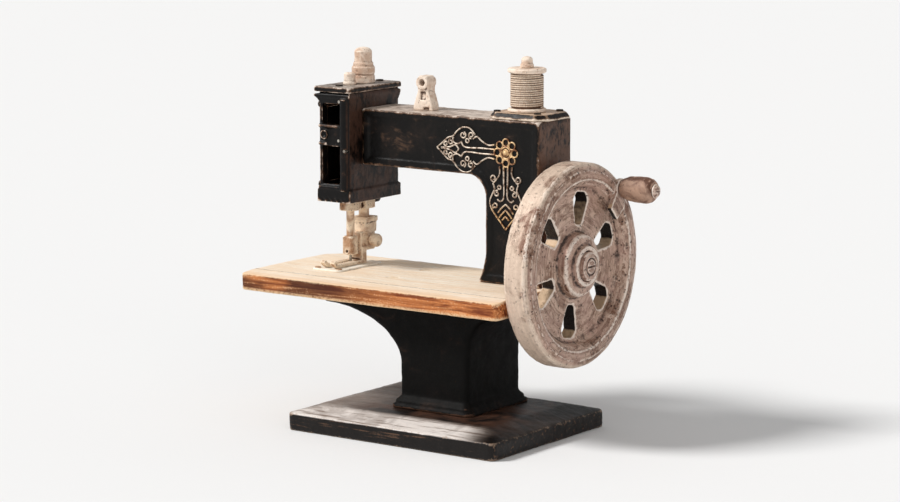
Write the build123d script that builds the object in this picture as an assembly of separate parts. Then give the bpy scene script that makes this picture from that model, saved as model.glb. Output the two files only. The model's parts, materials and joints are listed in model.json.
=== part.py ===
"""Miniature hand-cranked sewing machine on a pedestal, as an assembly of separate pieces.

Millimetres. +Z is up, -Y is the operator's side, the handwheel is at +X. The origin is the
centre of the base's underside. The machine is drawn with its needle at the bottom of the stroke.
"""
import os
from math import cos, pi, radians, sin

from build123d import *

os.makedirs("parts", exist_ok=True)

# ---------------------------------------------------------------- driving dimensions
base_length = 120.0
base_depth = 94.4
base_edge_height = 8.3
base_rise = 3.5            # the bevelled top rises this much to its flat
base_bevel = 13.0          # width of that bevel in plan

bed_length = 151.4
bed_depth = 75.6
bed_thickness = 9.0
bed_front = -34.0
bed_top = 71.2
bed_front_bevel = 11.0
bed_bevel_drop = 0.9

waist_left, waist_right = -14.0, 25.2
waist_front, waist_back = -18.7, 26.3
pedestal_wall = 3.0
left_flare, left_flare_height = 46.0, 26.0
right_flare, right_flare_height = 14.8, 17.0

arm_front, arm_back = 7.8, 34.3
arm_bottom, arm_top = 122.5, 150.0
column_left, column_right = 17.5, 47.9
casting_wall = 1.8
arch_radius = 10.5
foot_spread = 4.3

head_left, head_right = -73.6, -55.4
head_front, head_back = -2.8, 38.1
head_bottom, head_top = 104.2, 158.0
head_wall = 1.8
head_cap_thickness = 2.6

shaft_y, shaft_z = 16.8, 82.8
shaft_radius = 3.0
wheel_back, wheel_face = 54.0, 67.6
wheel_radius = 48.5
rim_width = 11.5
web_thickness = 7.0
web_recess = 5.6            # depth of the web below the rim's face
hub_radius = 14.6
spoke_holes = 6

handle_inset = 2.9          # handle's axis inside the wheel's outer radius
handle_angle = 47.0         # degrees above level, towards the back
handle_radius = 6.2
handle_length = 17.6
stud_radius = 2.2

bar_x = -65.6
needle_y, presser_y = 11.0, 22.0
needle_bar_radius = 2.0
presser_bar_radius = 2.6
presser_lift = 3.0

lever_pivot_x, lever_pivot_z = -8.0, 137.0
lever_tail = 32.0
lever_swing = 6.0          # degrees each side of level
lever_thickness = 2.6

looper_z = 64.8
looper_shaft_radius = 1.5
gear_teeth = 12
gear_width = 3.6

spool_x, spool_y = 32.5, 20.0
spool_radius = 9.2
spool_height = 20.5
winding_radius = 8.0
spool_pin_radius = 2.0

running = 0.05             # radial clearance of a shaft in its hole
gap = 0.3                  # side clearance between moving neighbours

# ---------------------------------------------------------------- derived places
pedestal_bottom = base_edge_height + base_rise
bed_bottom = bed_top - bed_thickness
bed_right = column_right + 4.5
bed_left = bed_right - bed_length
bed_back = bed_front + bed_depth
front_inner, back_inner = arm_front + casting_wall, arm_back - casting_wall
column_inner_left = column_left + casting_wall
column_inner_right = column_right - casting_wall
tunnel_bottom, tunnel_top = arm_bottom + casting_wall, arm_top - casting_wall
lever_nose = lever_pivot_x - bar_x
crank_radius = lever_tail * sin(radians(lever_swing))
tail_x = lever_pivot_x + lever_tail * cos(radians(lever_swing))
tail_z = lever_pivot_z + crank_radius
nose_drop = lever_nose * sin(radians(lever_swing))
needle_stroke = 2 * nose_drop
stud_z = lever_pivot_z - nose_drop
lever_front, lever_back = shaft_y - lever_thickness / 2, shaft_y + lever_thickness / 2
gear_pitch_radius = (shaft_z - looper_z) / 4
idler_z = (shaft_z + looper_z) / 2
boss_left = column_inner_right - 11.1
gear_right = boss_left - 0.6
gear_left = gear_right - gear_width
disc_right = gear_left - 0.4
disc_left = disc_right - 3.0
pitman_thickness = 2.6
pin_gap = 0.5              # the crank pin stops this short of the pitman's eye
pin_end = disc_left - 2.0
plate_top = bed_top + 0.8
plate_bottom = bed_top - 0.2
web_right = wheel_face - web_recess
web_left = web_right - web_thickness
rim_inner = wheel_radius - rim_width
handle_y = shaft_y + (wheel_radius - handle_inset) * cos(radians(handle_angle))
handle_z = shaft_z + (wheel_radius - handle_inset) * sin(radians(handle_angle))
cap_top = head_top + head_cap_thickness


# ---------------------------------------------------------------- shape helpers
def block(x0, x1, y0, y1, z0, z1):
    """A box between two corners."""
    return Pos((x0 + x1) / 2, (y0 + y1) / 2, (z0 + z1) / 2) * Box(x1 - x0, y1 - y0, z1 - z0)


def rod_x(x0, x1, y, z, radius):
    """A round bar along X."""
    return Pos((x0 + x1) / 2, y, z) * Rot(0, 90, 0) * Cylinder(radius, x1 - x0)


def rod_y(x, y0, y1, z, radius):
    """A round bar along Y."""
    return Pos(x, (y0 + y1) / 2, z) * Rot(90, 0, 0) * Cylinder(radius, y1 - y0)


def rod_z(x, y, z0, z1, radius):
    """A round bar along Z."""
    return Pos(x, y, (z0 + z1) / 2) * Cylinder(radius, z1 - z0)


def slab_xz(outline, y0, y1):
    """A flat piece whose outline lies in XZ, between two depths."""
    return Pos(0, y1, 0) * extrude(Plane.XZ * outline, amount=y1 - y0)


def slab_yz(outline, x0, x1):
    """A flat piece whose outline lies in YZ, between two stations along X."""
    return Pos(x0, 0, 0) * extrude(Plane.YZ * outline, amount=x1 - x0)


def turned_x(points, y, z):
    """A piece turned about an axis along X: points are (radius, x)."""
    profile = Plane.XZ * make_face(Polyline([(x, radius) for radius, x in points], close=True))
    return Pos(0, y, z) * revolve(profile, axis=Axis.X)


def turned_z(points, x, y):
    """A piece turned about an axis along Z: points are (radius, z)."""
    return Pos(x, y, 0) * revolve(Plane.XZ * make_face(Polyline(points, close=True)), axis=Axis.Z)


def polygon(points):
    """A closed flat outline through the points."""
    return make_face(Polyline(points, close=True))


def save(name, *solids):
    """Write one node; several solids are kept apart as a group."""
    shape = solids[0] if len(solids) == 1 else Compound(children=list(solids))
    export_step(shape, f"parts/{name}.step")


def screw_z(x, y, head_z, length, radius, head_radius, head_height, up=True):
    """A slotted screw along Z. up: its head is on top, at head_z, and the shank goes down."""
    side = 1 if up else -1
    head = rod_z(x, y, min(head_z, head_z + side * head_height), max(head_z, head_z + side * head_height),
                 head_radius)
    shank = rod_z(x, y, min(head_z, head_z - side * length), max(head_z, head_z - side * length), radius)
    slot_z = head_z + side * head_height
    slot = block(x - head_radius, x + head_radius, y - 0.25, y + 0.25, slot_z - 0.35, slot_z + 0.35)
    return head + shank - slot


def screw_x(y, z, head_x, length, radius, head_radius, head_height, side=-1):
    """A slotted screw along X. side: which way its head faces."""
    ends = sorted((head_x, head_x + side * head_height))
    shank_ends = sorted((head_x, head_x - side * length))
    slot_x = head_x + side * head_height
    slot = block(slot_x - 0.35, slot_x + 0.35, y - 0.25, y + 0.25, z - head_radius, z + head_radius)
    return rod_x(*ends, y, z, head_radius) + rod_x(*shank_ends, y, z, radius) - slot


def screw_y(x, z, head_y, length, radius, head_radius, head_height, side=1):
    """A slotted screw along Y. side: which way its head faces."""
    ends = sorted((head_y, head_y + side * head_height))
    shank_ends = sorted((head_y, head_y - side * length))
    slot_y = head_y + side * head_height
    slot = block(x - head_radius, x + head_radius, slot_y - 0.35, slot_y + 0.35, z - 0.25, z + 0.25)
    return rod_y(x, *ends, z, head_radius) + rod_y(x, *shank_ends, z, radius) - slot


def spur_gear(x0, x1, y, z, bore, turn=0.0):
    """A small spur gear on an axis along X, with stub teeth and a little backlash."""
    pitch = 2 * pi / gear_teeth
    module = 2 * gear_pitch_radius / gear_teeth
    tip, root = gear_pitch_radius + 0.65 * module, gear_pitch_radius - 0.85 * module
    points = []
    for tooth in range(gear_teeth):
        middle = tooth * pitch + radians(turn)
        for share, radius in ((-0.26, root), (-0.11, tip), (0.11, tip), (0.26, root)):
            angle = middle + share * pitch
            points.append((radius * cos(angle), radius * sin(angle)))
    return Pos(0, y, z) * slab_yz(polygon(points), x0, x1) - rod_x(x0 - 1, x1 + 1, y, z, bore)


# ---------------------------------------------------------------- stand
base_bolt_places = [(x, y) for x in (waist_left + 7, waist_right - 7) for y in (waist_front + 7, waist_back - 7)]


def base_plinth():
    """Solid slab with a wide shallow bevel round its top and counterbored holes below."""
    corner = 3.0
    slab = extrude(RectangleRounded(base_length, base_depth, corner), amount=base_edge_height)
    crown_lower = Pos(0, 0, base_edge_height) * RectangleRounded(base_length - 1, base_depth - 1, corner)
    crown_upper = Pos(0, 0, pedestal_bottom) * RectangleRounded(
        base_length - 2 * base_bevel, base_depth - 2 * base_bevel, corner)
    slab += loft([crown_lower.face(), crown_upper.face()])
    for x, y in base_bolt_places:
        slab -= rod_z(x, y, -1, pedestal_bottom + 1, 1.6)
        slab -= rod_z(x, y, -1, 4.0, 3.4)
    return slab


def pedestal_outline(inset):
    """Side view of the pedestal in XZ: a straight waist that flares to both sides under the bed."""
    left, right = waist_left + inset, waist_right - inset
    left_tip, right_tip = waist_left - left_flare, waist_right + right_flare
    left_centre = bed_bottom - 4.2 - left_flare_height
    right_centre = bed_bottom - 3.2 - right_flare_height
    bottom = pedestal_bottom + inset
    edges = [
        Line((left, bottom), (right, bottom)),
        Line((right, bottom), (right, right_centre)),
        EllipticalCenterArc((right_tip, right_centre), right_flare + inset, right_flare_height + inset,
                            start_angle=90, arc_size=90),
        Line((right_tip, right_centre + right_flare_height + inset), (right_tip, bed_bottom)),
        Line((right_tip, bed_bottom), (left_tip, bed_bottom)),
        Line((left_tip, bed_bottom), (left_tip, left_centre + left_flare_height + inset)),
        EllipticalCenterArc((left_tip, left_centre), left_flare + inset, left_flare_height + inset,
                            start_angle=0, arc_size=90),
        Line((left, left_centre), (left, bottom)),
    ]
    return make_face(edges)


def pedestal():
    """Hollow casting with a moulded collar at its foot."""
    body = slab_xz(pedestal_outline(0), waist_front, waist_back)
    corner_edges = body.edges().filter_by(Axis.Z)
    body = fillet(corner_edges.filter_by(lambda edge: edge.center().Z < 45), 2.5)
    hollow = slab_xz(pedestal_outline(pedestal_wall), waist_front + pedestal_wall, waist_back - pedestal_wall)
    hollow &= block(waist_left - left_flare + 8, waist_right + right_flare - pedestal_wall,
                    waist_front, waist_back, pedestal_bottom, bed_bottom)
    body -= hollow
    width, depth = waist_right - waist_left, waist_back - waist_front
    middle_x, middle_y = (waist_right + waist_left) / 2, (waist_back + waist_front) / 2
    for rise, grow, height in ((0.0, 3.6, 1.6), (1.6, 2.4, 2.6), (4.2, 1.0, 1.0)):
        ring = Pos(middle_x, middle_y, pedestal_bottom + rise) * extrude(
            RectangleRounded(width + 2 * grow, depth + 2 * grow, 4.0), amount=height)
        hole = Pos(middle_x, middle_y, pedestal_bottom + rise) * extrude(
            RectangleRounded(width - 2, depth - 2, 2.0), amount=height)
        collar = ring - hole
        if grow > 2 and rise > 0:
            collar = fillet(collar.faces().sort_by(Axis.Z)[-1].outer_wire().edges(), 1.2)
        body += collar
    for x, y in base_bolt_places:
        body += rod_z(x, y, pedestal_bottom, pedestal_bottom + 9, 3.4)
        body -= rod_z(x, y, pedestal_bottom - 1, pedestal_bottom + 7, 1.5)
    rib_x = bed_screw_x
    body += block(rib_x - 3, rib_x + 3, waist_front + 1, waist_back - 1, 55.5, bed_bottom)
    for y in bed_screw_ys:
        body -= rod_z(rib_x, y, 56.5, bed_bottom + 1, 1.3)
    gear_room = gear_pitch_radius + 1.2
    body -= block(gear_left - 0.6, gear_right + 0.6, shaft_y - gear_room, shaft_y + gear_room,
                  looper_z - gear_room, bed_bottom + 1)
    return body


bed_screw_x = -28.0
bed_screw_ys = (-5.0, 22.0)
column_screw_places = [(column_inner_left + 3.2, front_inner + 3.2), (column_inner_left + 3.2, back_inner - 3.2),
                       (column_inner_right - 3.2, front_inner + 3.2),
                       (column_inner_right - 3.2, back_inner - 3.2)]
pocket = (bar_x - 7.4, bar_x + 7.4, -2.0, 24.0)
plate_left, plate_right, plate_front, plate_back = -74.4, -56.8, -9.5, 26.5
plate_screw_places = [(plate_right - 2.4, plate_front + 2.6), (plate_left + 2.4, plate_front + 2.6)]


def bed_board():
    """Thick board with a shallow bevel along its front and pockets for the works below."""
    board = block(bed_left, bed_right, bed_front, bed_back, bed_bottom, bed_top)
    verticals = board.edges().filter_by(Axis.Z)
    far_left = verticals.sort_by(Axis.X)[:2].sort_by(Axis.Y)[-1]
    board = fillet(far_left, 14.0)
    near = board.edges().filter_by(Axis.Z).filter_by(lambda edge: edge.center().Y < 0)
    board = fillet(near, 3.0)
    wedge = polygon([(bed_front - 1, bed_top - bed_bevel_drop * (1 + 1 / bed_front_bevel)),
                     (bed_front + bed_front_bevel, bed_top), (bed_front - 1, bed_top + 3)])
    board -= slab_yz(wedge, bed_left - 1, bed_right + 1)
    board -= block(plate_left, plate_right, plate_front, plate_back, plate_bottom, bed_top + 1)
    board -= block(pocket[0] + 3, pocket[1], pocket[2], pocket[3], bed_bottom - 1, bed_top + 1)
    board -= block(pocket[0], pocket[1], pocket[2], pocket[3], looper_z + 1, bed_top + 1)
    board -= block(bar_x, gear_right + 2, shaft_y - 2.6, shaft_y + 2.6, bed_bottom - 1, looper_z + 2.6)
    slot_half = gear_pitch_radius + 1.2
    board -= block(gear_left - 0.6, gear_right + 0.4, shaft_y - slot_half, shaft_y + slot_half,
                   bed_bottom - 1, bed_top + 1)
    for x, y in column_screw_places:
        board -= rod_z(x, y, bed_bottom - 1, bed_top + 1, 1.6)
    for y in bed_screw_ys:
        board -= rod_z(bed_screw_x, y, bed_bottom - 1, bed_top + 1, 1.6)
        board -= rod_z(bed_screw_x, y, bed_top - 1.4, bed_top + 1, 2.8)
    for x, y in plate_screw_places:
        board -= rod_z(x, y, bed_top - 5, bed_top, 0.9)
    return board


def needle_plate():
    """Thin plate under the foot, with the needle hole and the slot for the feed dog."""
    plate = block(plate_left, plate_right, plate_front, plate_back, plate_bottom, plate_top)
    plate = fillet(plate.edges().filter_by(Axis.Z), 3.0)
    plate -= rod_z(bar_x, needle_y, plate_bottom - 1, plate_top + 1, 1.1)
    plate -= block(feed_left - gap, feed_right + gap, feed_front - feed_play, feed_back + feed_play,
                   plate_bottom - 1, plate_top + 1)
    for x, y in plate_screw_places:
        plate -= rod_z(x, y, plate_bottom - 1, plate_top + 1, 1.0)
    return plate


feed_left, feed_right, feed_front, feed_back = bar_x - 4.2, bar_x - 2.0, 5.0, 15.0
feed_travel, feed_play = 1.2, 1.5


def feed_dog():
    """Toothed bar that shows through the needle plate, on a flat carrier in the bed."""
    carrier = block(pocket[0] + gap, feed_right, 0.0, 20.0, looper_z + 1.1, looper_z + 2.6)
    carrier += block(feed_left, feed_right, feed_front, feed_back, looper_z + 2.6, plate_top - 0.5)
    count = 5
    step = (feed_back - feed_front) / count
    for tooth in range(count):
        start = feed_front + tooth * step
        carrier += slab_yz(polygon([(start, plate_top - 0.5), (start + step, plate_top - 0.5),
                                    (start + step, plate_top - 0.05)]), feed_left, feed_right)
    return carrier


def looper_hook():
    """Hooked arm on the end of the looper shaft that catches the loop beside the needle."""
    reach = shaft_y - needle_y + 0.2
    x0 = bar_x + 1.1
    hub = rod_x(x0 - 1.5, x0 + 3.0, shaft_y, looper_z, 3.0)
    blade = rod_x(x0, x0 + 1.4, shaft_y, looper_z, reach) - rod_x(x0 - 1, x0 + 2.4, shaft_y, looper_z, reach - 1.6)
    blade &= block(x0 - 1, x0 + 3, shaft_y - 9, shaft_y + 0.5, looper_z - 9, looper_z + 1)
    arm = block(x0, x0 + 1.4, shaft_y - 1.2, shaft_y + 1.2, looper_z - reach + 0.3, looper_z)
    bore = rod_x(x0 - 4, x0 + 4, shaft_y, looper_z, looper_shaft_radius)
    return hub + blade + arm - bore


def looper_tray():
    """Shallow pan under the bed that keeps dust off the looper."""
    x0, x1 = pocket[0] - 1.5, waist_left - left_flare - 0.3
    outer = block(x0, x1, shaft_y - 8.6, shaft_y + 8.6, bed_bottom - 5.2, bed_bottom)
    outer -= block(x0 + 1.2, x1 - 1.2, shaft_y - 7.4, shaft_y + 7.4, bed_bottom - 4.2, bed_bottom + 1)
    return outer


looper_shaft_left = bar_x - 0.2
looper_bush_spans = ((bar_x + 7.9, bar_x + 12.4), (gear_left - 8.0, gear_left - 1.0))

save("base_plinth", base_plinth())
save("base_bolts", *[screw_z(x, y, 4.0, pedestal_bottom + 2.0, 1.5, 3.2, 2.4, up=False)
                     for x, y in base_bolt_places])
save("pedestal", pedestal())
save("bed_board", bed_board())
save("bed_screws", *[screw_z(bed_screw_x, y, bed_top - 1.4, 12.0, 1.3, 2.7, 1.2) for y in bed_screw_ys])
save("needle_plate", needle_plate())
save("needle_plate_screws", *[screw_z(x, y, plate_top, 4.6, 0.9, 1.5, 0.5) for x, y in plate_screw_places])
save("feed_dog", feed_dog())
save("looper_shaft", rod_x(looper_shaft_left, gear_right, shaft_y, looper_z, looper_shaft_radius))
save("looper_hook", looper_hook())
save("looper_gear", spur_gear(gear_left, gear_right, shaft_y, looper_z, looper_shaft_radius))
save("looper_bushes", *[rod_x(x0, x1, shaft_y, looper_z, 2.6)
                        - rod_x(x0 - 1, x1 + 1, shaft_y, looper_z, looper_shaft_radius + running)
                        for x0, x1 in looper_bush_spans])
save("looper_tray", looper_tray())


# ---------------------------------------------------------------- arm and column
def arm_outline(inset):
    """Front view in XZ of the arm and column as one casting with an arched inner corner."""
    foot_z = bed_top + inset
    left, right = head_right + inset, column_right - inset
    inner_left = column_left + inset
    under = arm_bottom + inset
    radius = arch_radius + inset
    arc_middle = (inner_left - radius + radius * cos(pi / 4), under - radius + radius * sin(pi / 4))
    edges = [
        Line((left, under), (inner_left - radius, under)),
        ThreePointArc((inner_left - radius, under), arc_middle, (inner_left, under - radius)),
        Line((inner_left, under - radius), (inner_left, bed_top + 16)),
        TangentArc((inner_left, bed_top + 16), (inner_left - foot_spread, foot_z), tangent=(0, -1)),
        Line((inner_left - foot_spread, foot_z), (right, foot_z)),
        Line((right, foot_z), (right, arm_top - inset)),
        Line((right, arm_top - inset), (left, arm_top - inset)),
        Line((left, arm_top - inset), (left, under)),
    ]
    return make_face(edges)


rear_opening = (column_inner_left + 3, column_inner_right - 3, 92.0, 118.0)
rear_screw_places = [(x, z) for x in (rear_opening[0] - 1.6, rear_opening[1] + 1.6)
                     for z in (rear_opening[2] - 2.2, rear_opening[3] + 2.2)]
head_screw_zs = (tunnel_bottom + 1.9, tunnel_top - 1.9)
head_screw_y = (front_inner + back_inner) / 2
bush_radius = 4.6
boss_back, boss_top = shaft_y + 7.5, shaft_z + 8.2


def arm_casting():
    """Hollow arm and column, open to the head, to the bed and at the top of the column."""
    body = slab_xz(arm_outline(0), arm_front, arm_back)
    for outer, inner, proud in ((0.3, 1.7, 0.8), (2.6, 3.6, 0.55)):
        rail = arm_outline(outer) - arm_outline(inner)
        body += slab_xz(rail, arm_front - proud, arm_front)
    body -= block(head_right - 1, column_inner_right, front_inner, back_inner, tunnel_bottom, tunnel_top)
    body -= block(column_inner_left, column_inner_right, front_inner, back_inner, bed_top - 1, arm_top + 1)
    body += block(boss_left, column_inner_right + 0.5, front_inner - 0.5, boss_back, bed_top, boss_top)
    body += rod_x(column_right - 0.5, column_right + 1.2, shaft_y, shaft_z, bush_radius + 3.2)
    body -= rod_x(boss_left - 1, column_right + 2, shaft_y, shaft_z, bush_radius)
    body -= rod_x(boss_left - 1, boss_left + 7, shaft_y, idler_z, 1.5)
    body += rod_y(lever_pivot_x, front_inner - 0.5, lever_front - gap, lever_pivot_z, 4.0)
    body += rod_y(lever_pivot_x, lever_back + gap, back_inner + 0.5, lever_pivot_z, 4.0)
    body -= rod_y(lever_pivot_x, front_inner, arm_back + 1, lever_pivot_z, 2.0)
    opening = block(rear_opening[0], rear_opening[1], back_inner - 1, arm_back + 1, rear_opening[2],
                    rear_opening[3])
    body -= opening
    for x, z in rear_screw_places:
        body -= rod_y(x, back_inner - 1, arm_back + 1, z, 0.9)
    for x, y in column_screw_places[:2] + column_screw_places[3:]:
        lug = rod_z(x, y, bed_top, bed_top + 4, 3.0) + block(
            min(x, column_inner_left if x < boss_left else x), max(x, column_inner_right if x > boss_left else x),
            y - 3, y + 3, bed_top, bed_top + 4)
        body += lug
    for x, y in column_screw_places:
        body -= rod_z(x, y, bed_top - 1, bed_top + 3.2, 1.3)
    for z in head_screw_zs:
        body += block(head_right, head_right + 8, head_screw_y - 2.6, head_screw_y + 2.6, z - 1.9, z + 1.9)
        body -= rod_x(head_right - 1, head_right + 6.5, head_screw_y, z, 1.0)
    for y in (front_inner, back_inner - 4):
        for x in (column_inner_left, column_inner_right - 4):
            body += block(x, x + 4, y, y + 4, arm_top - 7, arm_top)
            body -= rod_z(x + 2, y + 2, arm_top - 6, arm_top + 1, 0.9)
    body -= rod_z(guide_x, guide_y, tunnel_top - 1, arm_top + 1, 1.3)
    return body


guide_x, guide_y = -26.0, 20.0
column_cap_bounds = (column_left - 0.5, column_right + 2.2, arm_front - 0.9, arm_back + 0.9)
cap_screw_places = [(x + 2, y + 2) for y in (front_inner, back_inner - 4)
                    for x in (column_inner_left, column_inner_right - 4)]


def column_cap():
    """Cap over the top of the column, with clipped corners and a bevelled edge."""
    x0, x1, y0, y1 = column_cap_bounds
    clip, rise = 5.0, 3.0
    cap = block(x0, x1, y0, y1, arm_top, arm_top + rise)
    cap = chamfer(cap.edges().filter_by(Axis.Z), clip)
    cap = chamfer(cap.faces().sort_by(Axis.Z)[-1].outer_wire().edges(), 1.6, 2.2)
    cap -= rod_z(spool_x, spool_y, arm_top - 1, arm_top + rise + 1, 1.6)
    for x, y in cap_screw_places:
        cap -= rod_z(x, y, arm_top - 1, arm_top + rise + 1, 1.0)
    return cap


def rear_cover():
    """Flat cover over the hand hole in the back of the column."""
    x0, x1, z0, z1 = rear_opening
    plate = block(x0 - 3, x1 + 3, arm_back, arm_back + 1.4, z0 - 4, z1 + 4)
    plate = fillet(plate.edges().filter_by(Axis.Y), 2.0)
    for x, z in rear_screw_places:
        plate -= rod_y(x, arm_back - 1, arm_back + 3, z, 1.0)
    return plate


rosette_x, rosette_z = 29.1, 134.2
ornament_height = 1.0


def ring_xz(x, z, outer, inner):
    """A flat ring of the ornament."""
    return Pos(x, z) * (Circle(outer) - Circle(inner))


def ornament_branch(length):
    """One scrolled branch of the ornament, drawn along +X from the rosette."""
    branch = Pos(length * 0.44, 0) * Rectangle(length * 0.74, 1.0)
    for side in (-1, 1):
        branch += Pos(length * 0.37, side * 2.0) * Rectangle(length * 0.46, 0.8)
        for along, across, outer in ((0.24, 4.2, 2.7), (0.42, 5.0, 2.9), (0.60, 4.2, 3.0), (0.73, 2.6, 2.5)):
            branch += ring_xz(length * along, side * across, outer, outer - 0.9)
    branch += ring_xz(length * 0.86, 0, 3.0, 1.6)
    branch += Pos(length * 0.955, 0) * Rot(0, 0, 45) * Rectangle(3.0, 3.0)
    return branch


def arm_ornament():
    """Cast scrollwork on the front: a rosette with one branch along the arm and one down the column."""
    petals = Circle(3.4)
    for petal in range(8):
        angle = petal * pi / 4
        petals += ring_xz(4.6 * cos(angle), 4.6 * sin(angle), 2.3, 1.0)
    flat = petals + Rot(0, 0, 180) * ornament_branch(rosette_x + 10.6)
    flat += Rot(0, 0, -90) * ornament_branch(rosette_z - 97.6)
    raised = slab_xz(Pos(rosette_x, rosette_z) * flat, arm_front - ornament_height, arm_front)
    raised += Pos(rosette_x, arm_front - ornament_height + 0.6, rosette_z) * Sphere(2.2)
    return raised & block(-60, 60, arm_front - 3, arm_front, 80, 160)


save("arm_casting", arm_casting())
save("column_screws", *[screw_z(x, y, bed_bottom, bed_thickness + 2.8, 1.3, 2.6, 1.6, up=False)
                        for x, y in column_screw_places])
save("column_cap", column_cap())
save("column_cap_screws", *[screw_z(x, y, arm_top + 3.0, 7.5, 0.9, 1.7, 0.7) for x, y in cap_screw_places])
save("rear_cover", rear_cover())
save("rear_cover_screws", *[screw_y(x, z, arm_back + 1.4, 3.0, 0.9, 1.7, 0.8) for x, z in rear_screw_places])
save("arm_ornament", arm_ornament())


# ---------------------------------------------------------------- head
face_opening = (1.5, 34.0, 114.0, 150.0)
face_screw_places = [(y, z) for y in (face_opening[0] - 1.4, face_opening[1] + 1.4)
                     for z in (face_opening[2] - 1.6, face_opening[3] + 1.6)]
trim_x = head_right - 3.0
pilaster_radius = 2.3
guide_block = (bar_x - 4.2, bar_x + 4.2, needle_y - 4.2, presser_y + 4.6, 98.7, 112.0)


def head_casing():
    """Box that carries the two bars: windows in front, open on the left for the face plate."""
    body = block(head_left, head_right, head_front, head_back, head_bottom, head_top)
    far_edges = body.edges().filter_by(Axis.Z).sort_by(Axis.Y)[-2:]
    body = fillet(far_edges, 2.0)
    cornice = loft([
        (Pos((head_left + head_right) / 2, (head_front + head_back) / 2, head_top - 5.5)
         * Rectangle(head_right - head_left - 0.2, head_back - head_front - 0.2)).face(),
        (Pos((head_left + head_right) / 2 - 1.4, (head_front + head_back) / 2, head_top - 1.8)
         * Rectangle(head_right - head_left + 3.4, head_back - head_front + 1.4)).face()])
    body += cornice
    body += block(head_left - 3.2, head_right + 0.3, head_front - 0.8, head_back + 0.8, head_top - 2.6,
                  head_top - 1.2)
    body += block(head_left - 1.2, head_right + 0.5, head_front - 0.7, head_back + 0.5, head_bottom,
                  head_bottom + 6.2)
    body -= block(head_left + head_wall, head_right - head_wall, head_front + head_wall, head_back - head_wall,
                  head_bottom + head_wall, head_top - head_wall)
    body -= block(head_right - head_wall - 1, head_right + 1, front_inner, back_inner, tunnel_bottom, tunnel_top)
    for z0, z1, x1 in ((142.4, 152.2, trim_x - 2.6), (113.2, 131.6, trim_x - 2.6)):
        body -= block(head_left + 1.6, x1, head_front - 2, head_front + head_wall + 1, z0, z1)
    for z, x1 in ((141.4, trim_x - 1.6), (132.8, head_left + 5.0), (111.4, trim_x - 1.6)):
        body += block(head_left - 0.2, x1, head_front - 1.1, head_front + 0.4, z - 0.7, z + 0.7)
    body += rod_y(head_left + 3.4, head_front - 1.4, head_front + 0.4, 137.2, 2.3)
    body -= rod_y(head_left + 3.4, head_front - 2, head_front - 0.5, 137.2, 1.1)
    pilaster = rod_z(trim_x, head_front, head_bottom + 6, head_top - 3, pilaster_radius)
    body += pilaster & block(trim_x - 4, trim_x + 4, head_front - 4, head_front + 0.5, head_bottom, head_top)
    for scallop in range(4):
        body -= rod_y(head_left + 2.2 + 3.4 * scallop, head_front - 2, head_front - 0.2, head_bottom + 0.6, 1.4)
    body -= block(face_left - 1, head_left + head_wall + 1, face_opening[0], face_opening[1], face_opening[2],
                  face_opening[3])
    for y, z in face_screw_places:
        body -= rod_x(head_left - 1, head_left + 4, y, z, 0.9)
    for x, z in trim_screw_places:
        body -= rod_y(x, head_front - 4, head_front + 1.2, z, 0.7)
    body -= block(*guide_block)
    body -= rod_z(bar_x, needle_y, head_top - 4, head_top + 1, needle_bar_radius + 1.0)
    body -= rod_z(bar_x, presser_y, head_top - 4, head_top + 1, nut_stem_radius + 0.4)
    body -= rod_y(bar_x, head_back - 3, head_back + 2, lifter_z, 1.8 + running)
    for z in head_screw_zs:
        body -= rod_x(head_right - 4, head_right + 1, head_screw_y, z, 1.1)
    for y in cap_screw_ys:
        body -= rod_z(cap_screw_x, y, head_top - 4, head_top + 1, 0.9)
    return body


trim_screw_places = [(trim_x - 2.9, 153.6), (trim_x - 3.3, 134.6), (trim_x + 1.6, 130.0)]
face_left = head_left - 1.3
cap_screw_x = head_left + 9.0
cap_screw_ys = (head_front + 4.0, head_back - 4.0)
nut_stem_radius = 3.4
lifter_z = 118.0
lifter_cam_low = 3.0
cam_gap = 0.6              # above the cam's top: its slope takes most of this up


def face_plate():
    """Plate that closes the left side of the head."""
    plate = block(face_left, head_left, face_opening[0] - 3, face_opening[1] + 3, face_opening[2] - 3,
                  face_opening[3] + 2.4)
    for y, z in face_screw_places:
        plate -= rod_x(face_left - 1, head_left + 1, y, z, 1.0)
    plate += block(face_left - 0.6, face_left, face_opening[0] + 3, face_opening[1] - 3, face_opening[2] + 4,
                   face_opening[3] - 4)
    return plate


def head_cap():
    """Thin lid on the head, with holes for the bar cap and the presser screw."""
    lid = block(head_left - 3.2, head_right + 0.8, head_front - 1.2, head_back + 1.2, head_top, cap_top)
    lid = fillet(lid.edges().filter_by(Axis.Z), 1.5)
    lid = fillet(lid.faces().sort_by(Axis.Z)[-1].outer_wire().edges(), 0.8)
    lid -= rod_z(bar_x, needle_y, head_top - 1, cap_top + 1, needle_bar_radius + 1.0)
    lid -= rod_z(bar_x, presser_y, head_top - 1, cap_top + 1, nut_stem_radius + running)
    for y in cap_screw_ys:
        lid -= rod_z(cap_screw_x, y, head_top - 1, cap_top + 1, 1.0)
    return lid


def bar_guide():
    """Block through the floor of the head in which both bars slide."""
    body = block(*guide_block)
    body = fillet(body.edges().filter_by(Axis.Z), 1.5)
    body -= rod_z(bar_x, needle_y, 90, 120, needle_bar_radius + running)
    body -= rod_z(bar_x, presser_y, 90, 120, presser_bar_radius + running)
    middle = (needle_y + presser_y) / 2 - 0.3
    body -= rod_x(bar_x + 1.5, bar_x + 6, middle, 100.2, 2.4)
    return body


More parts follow.
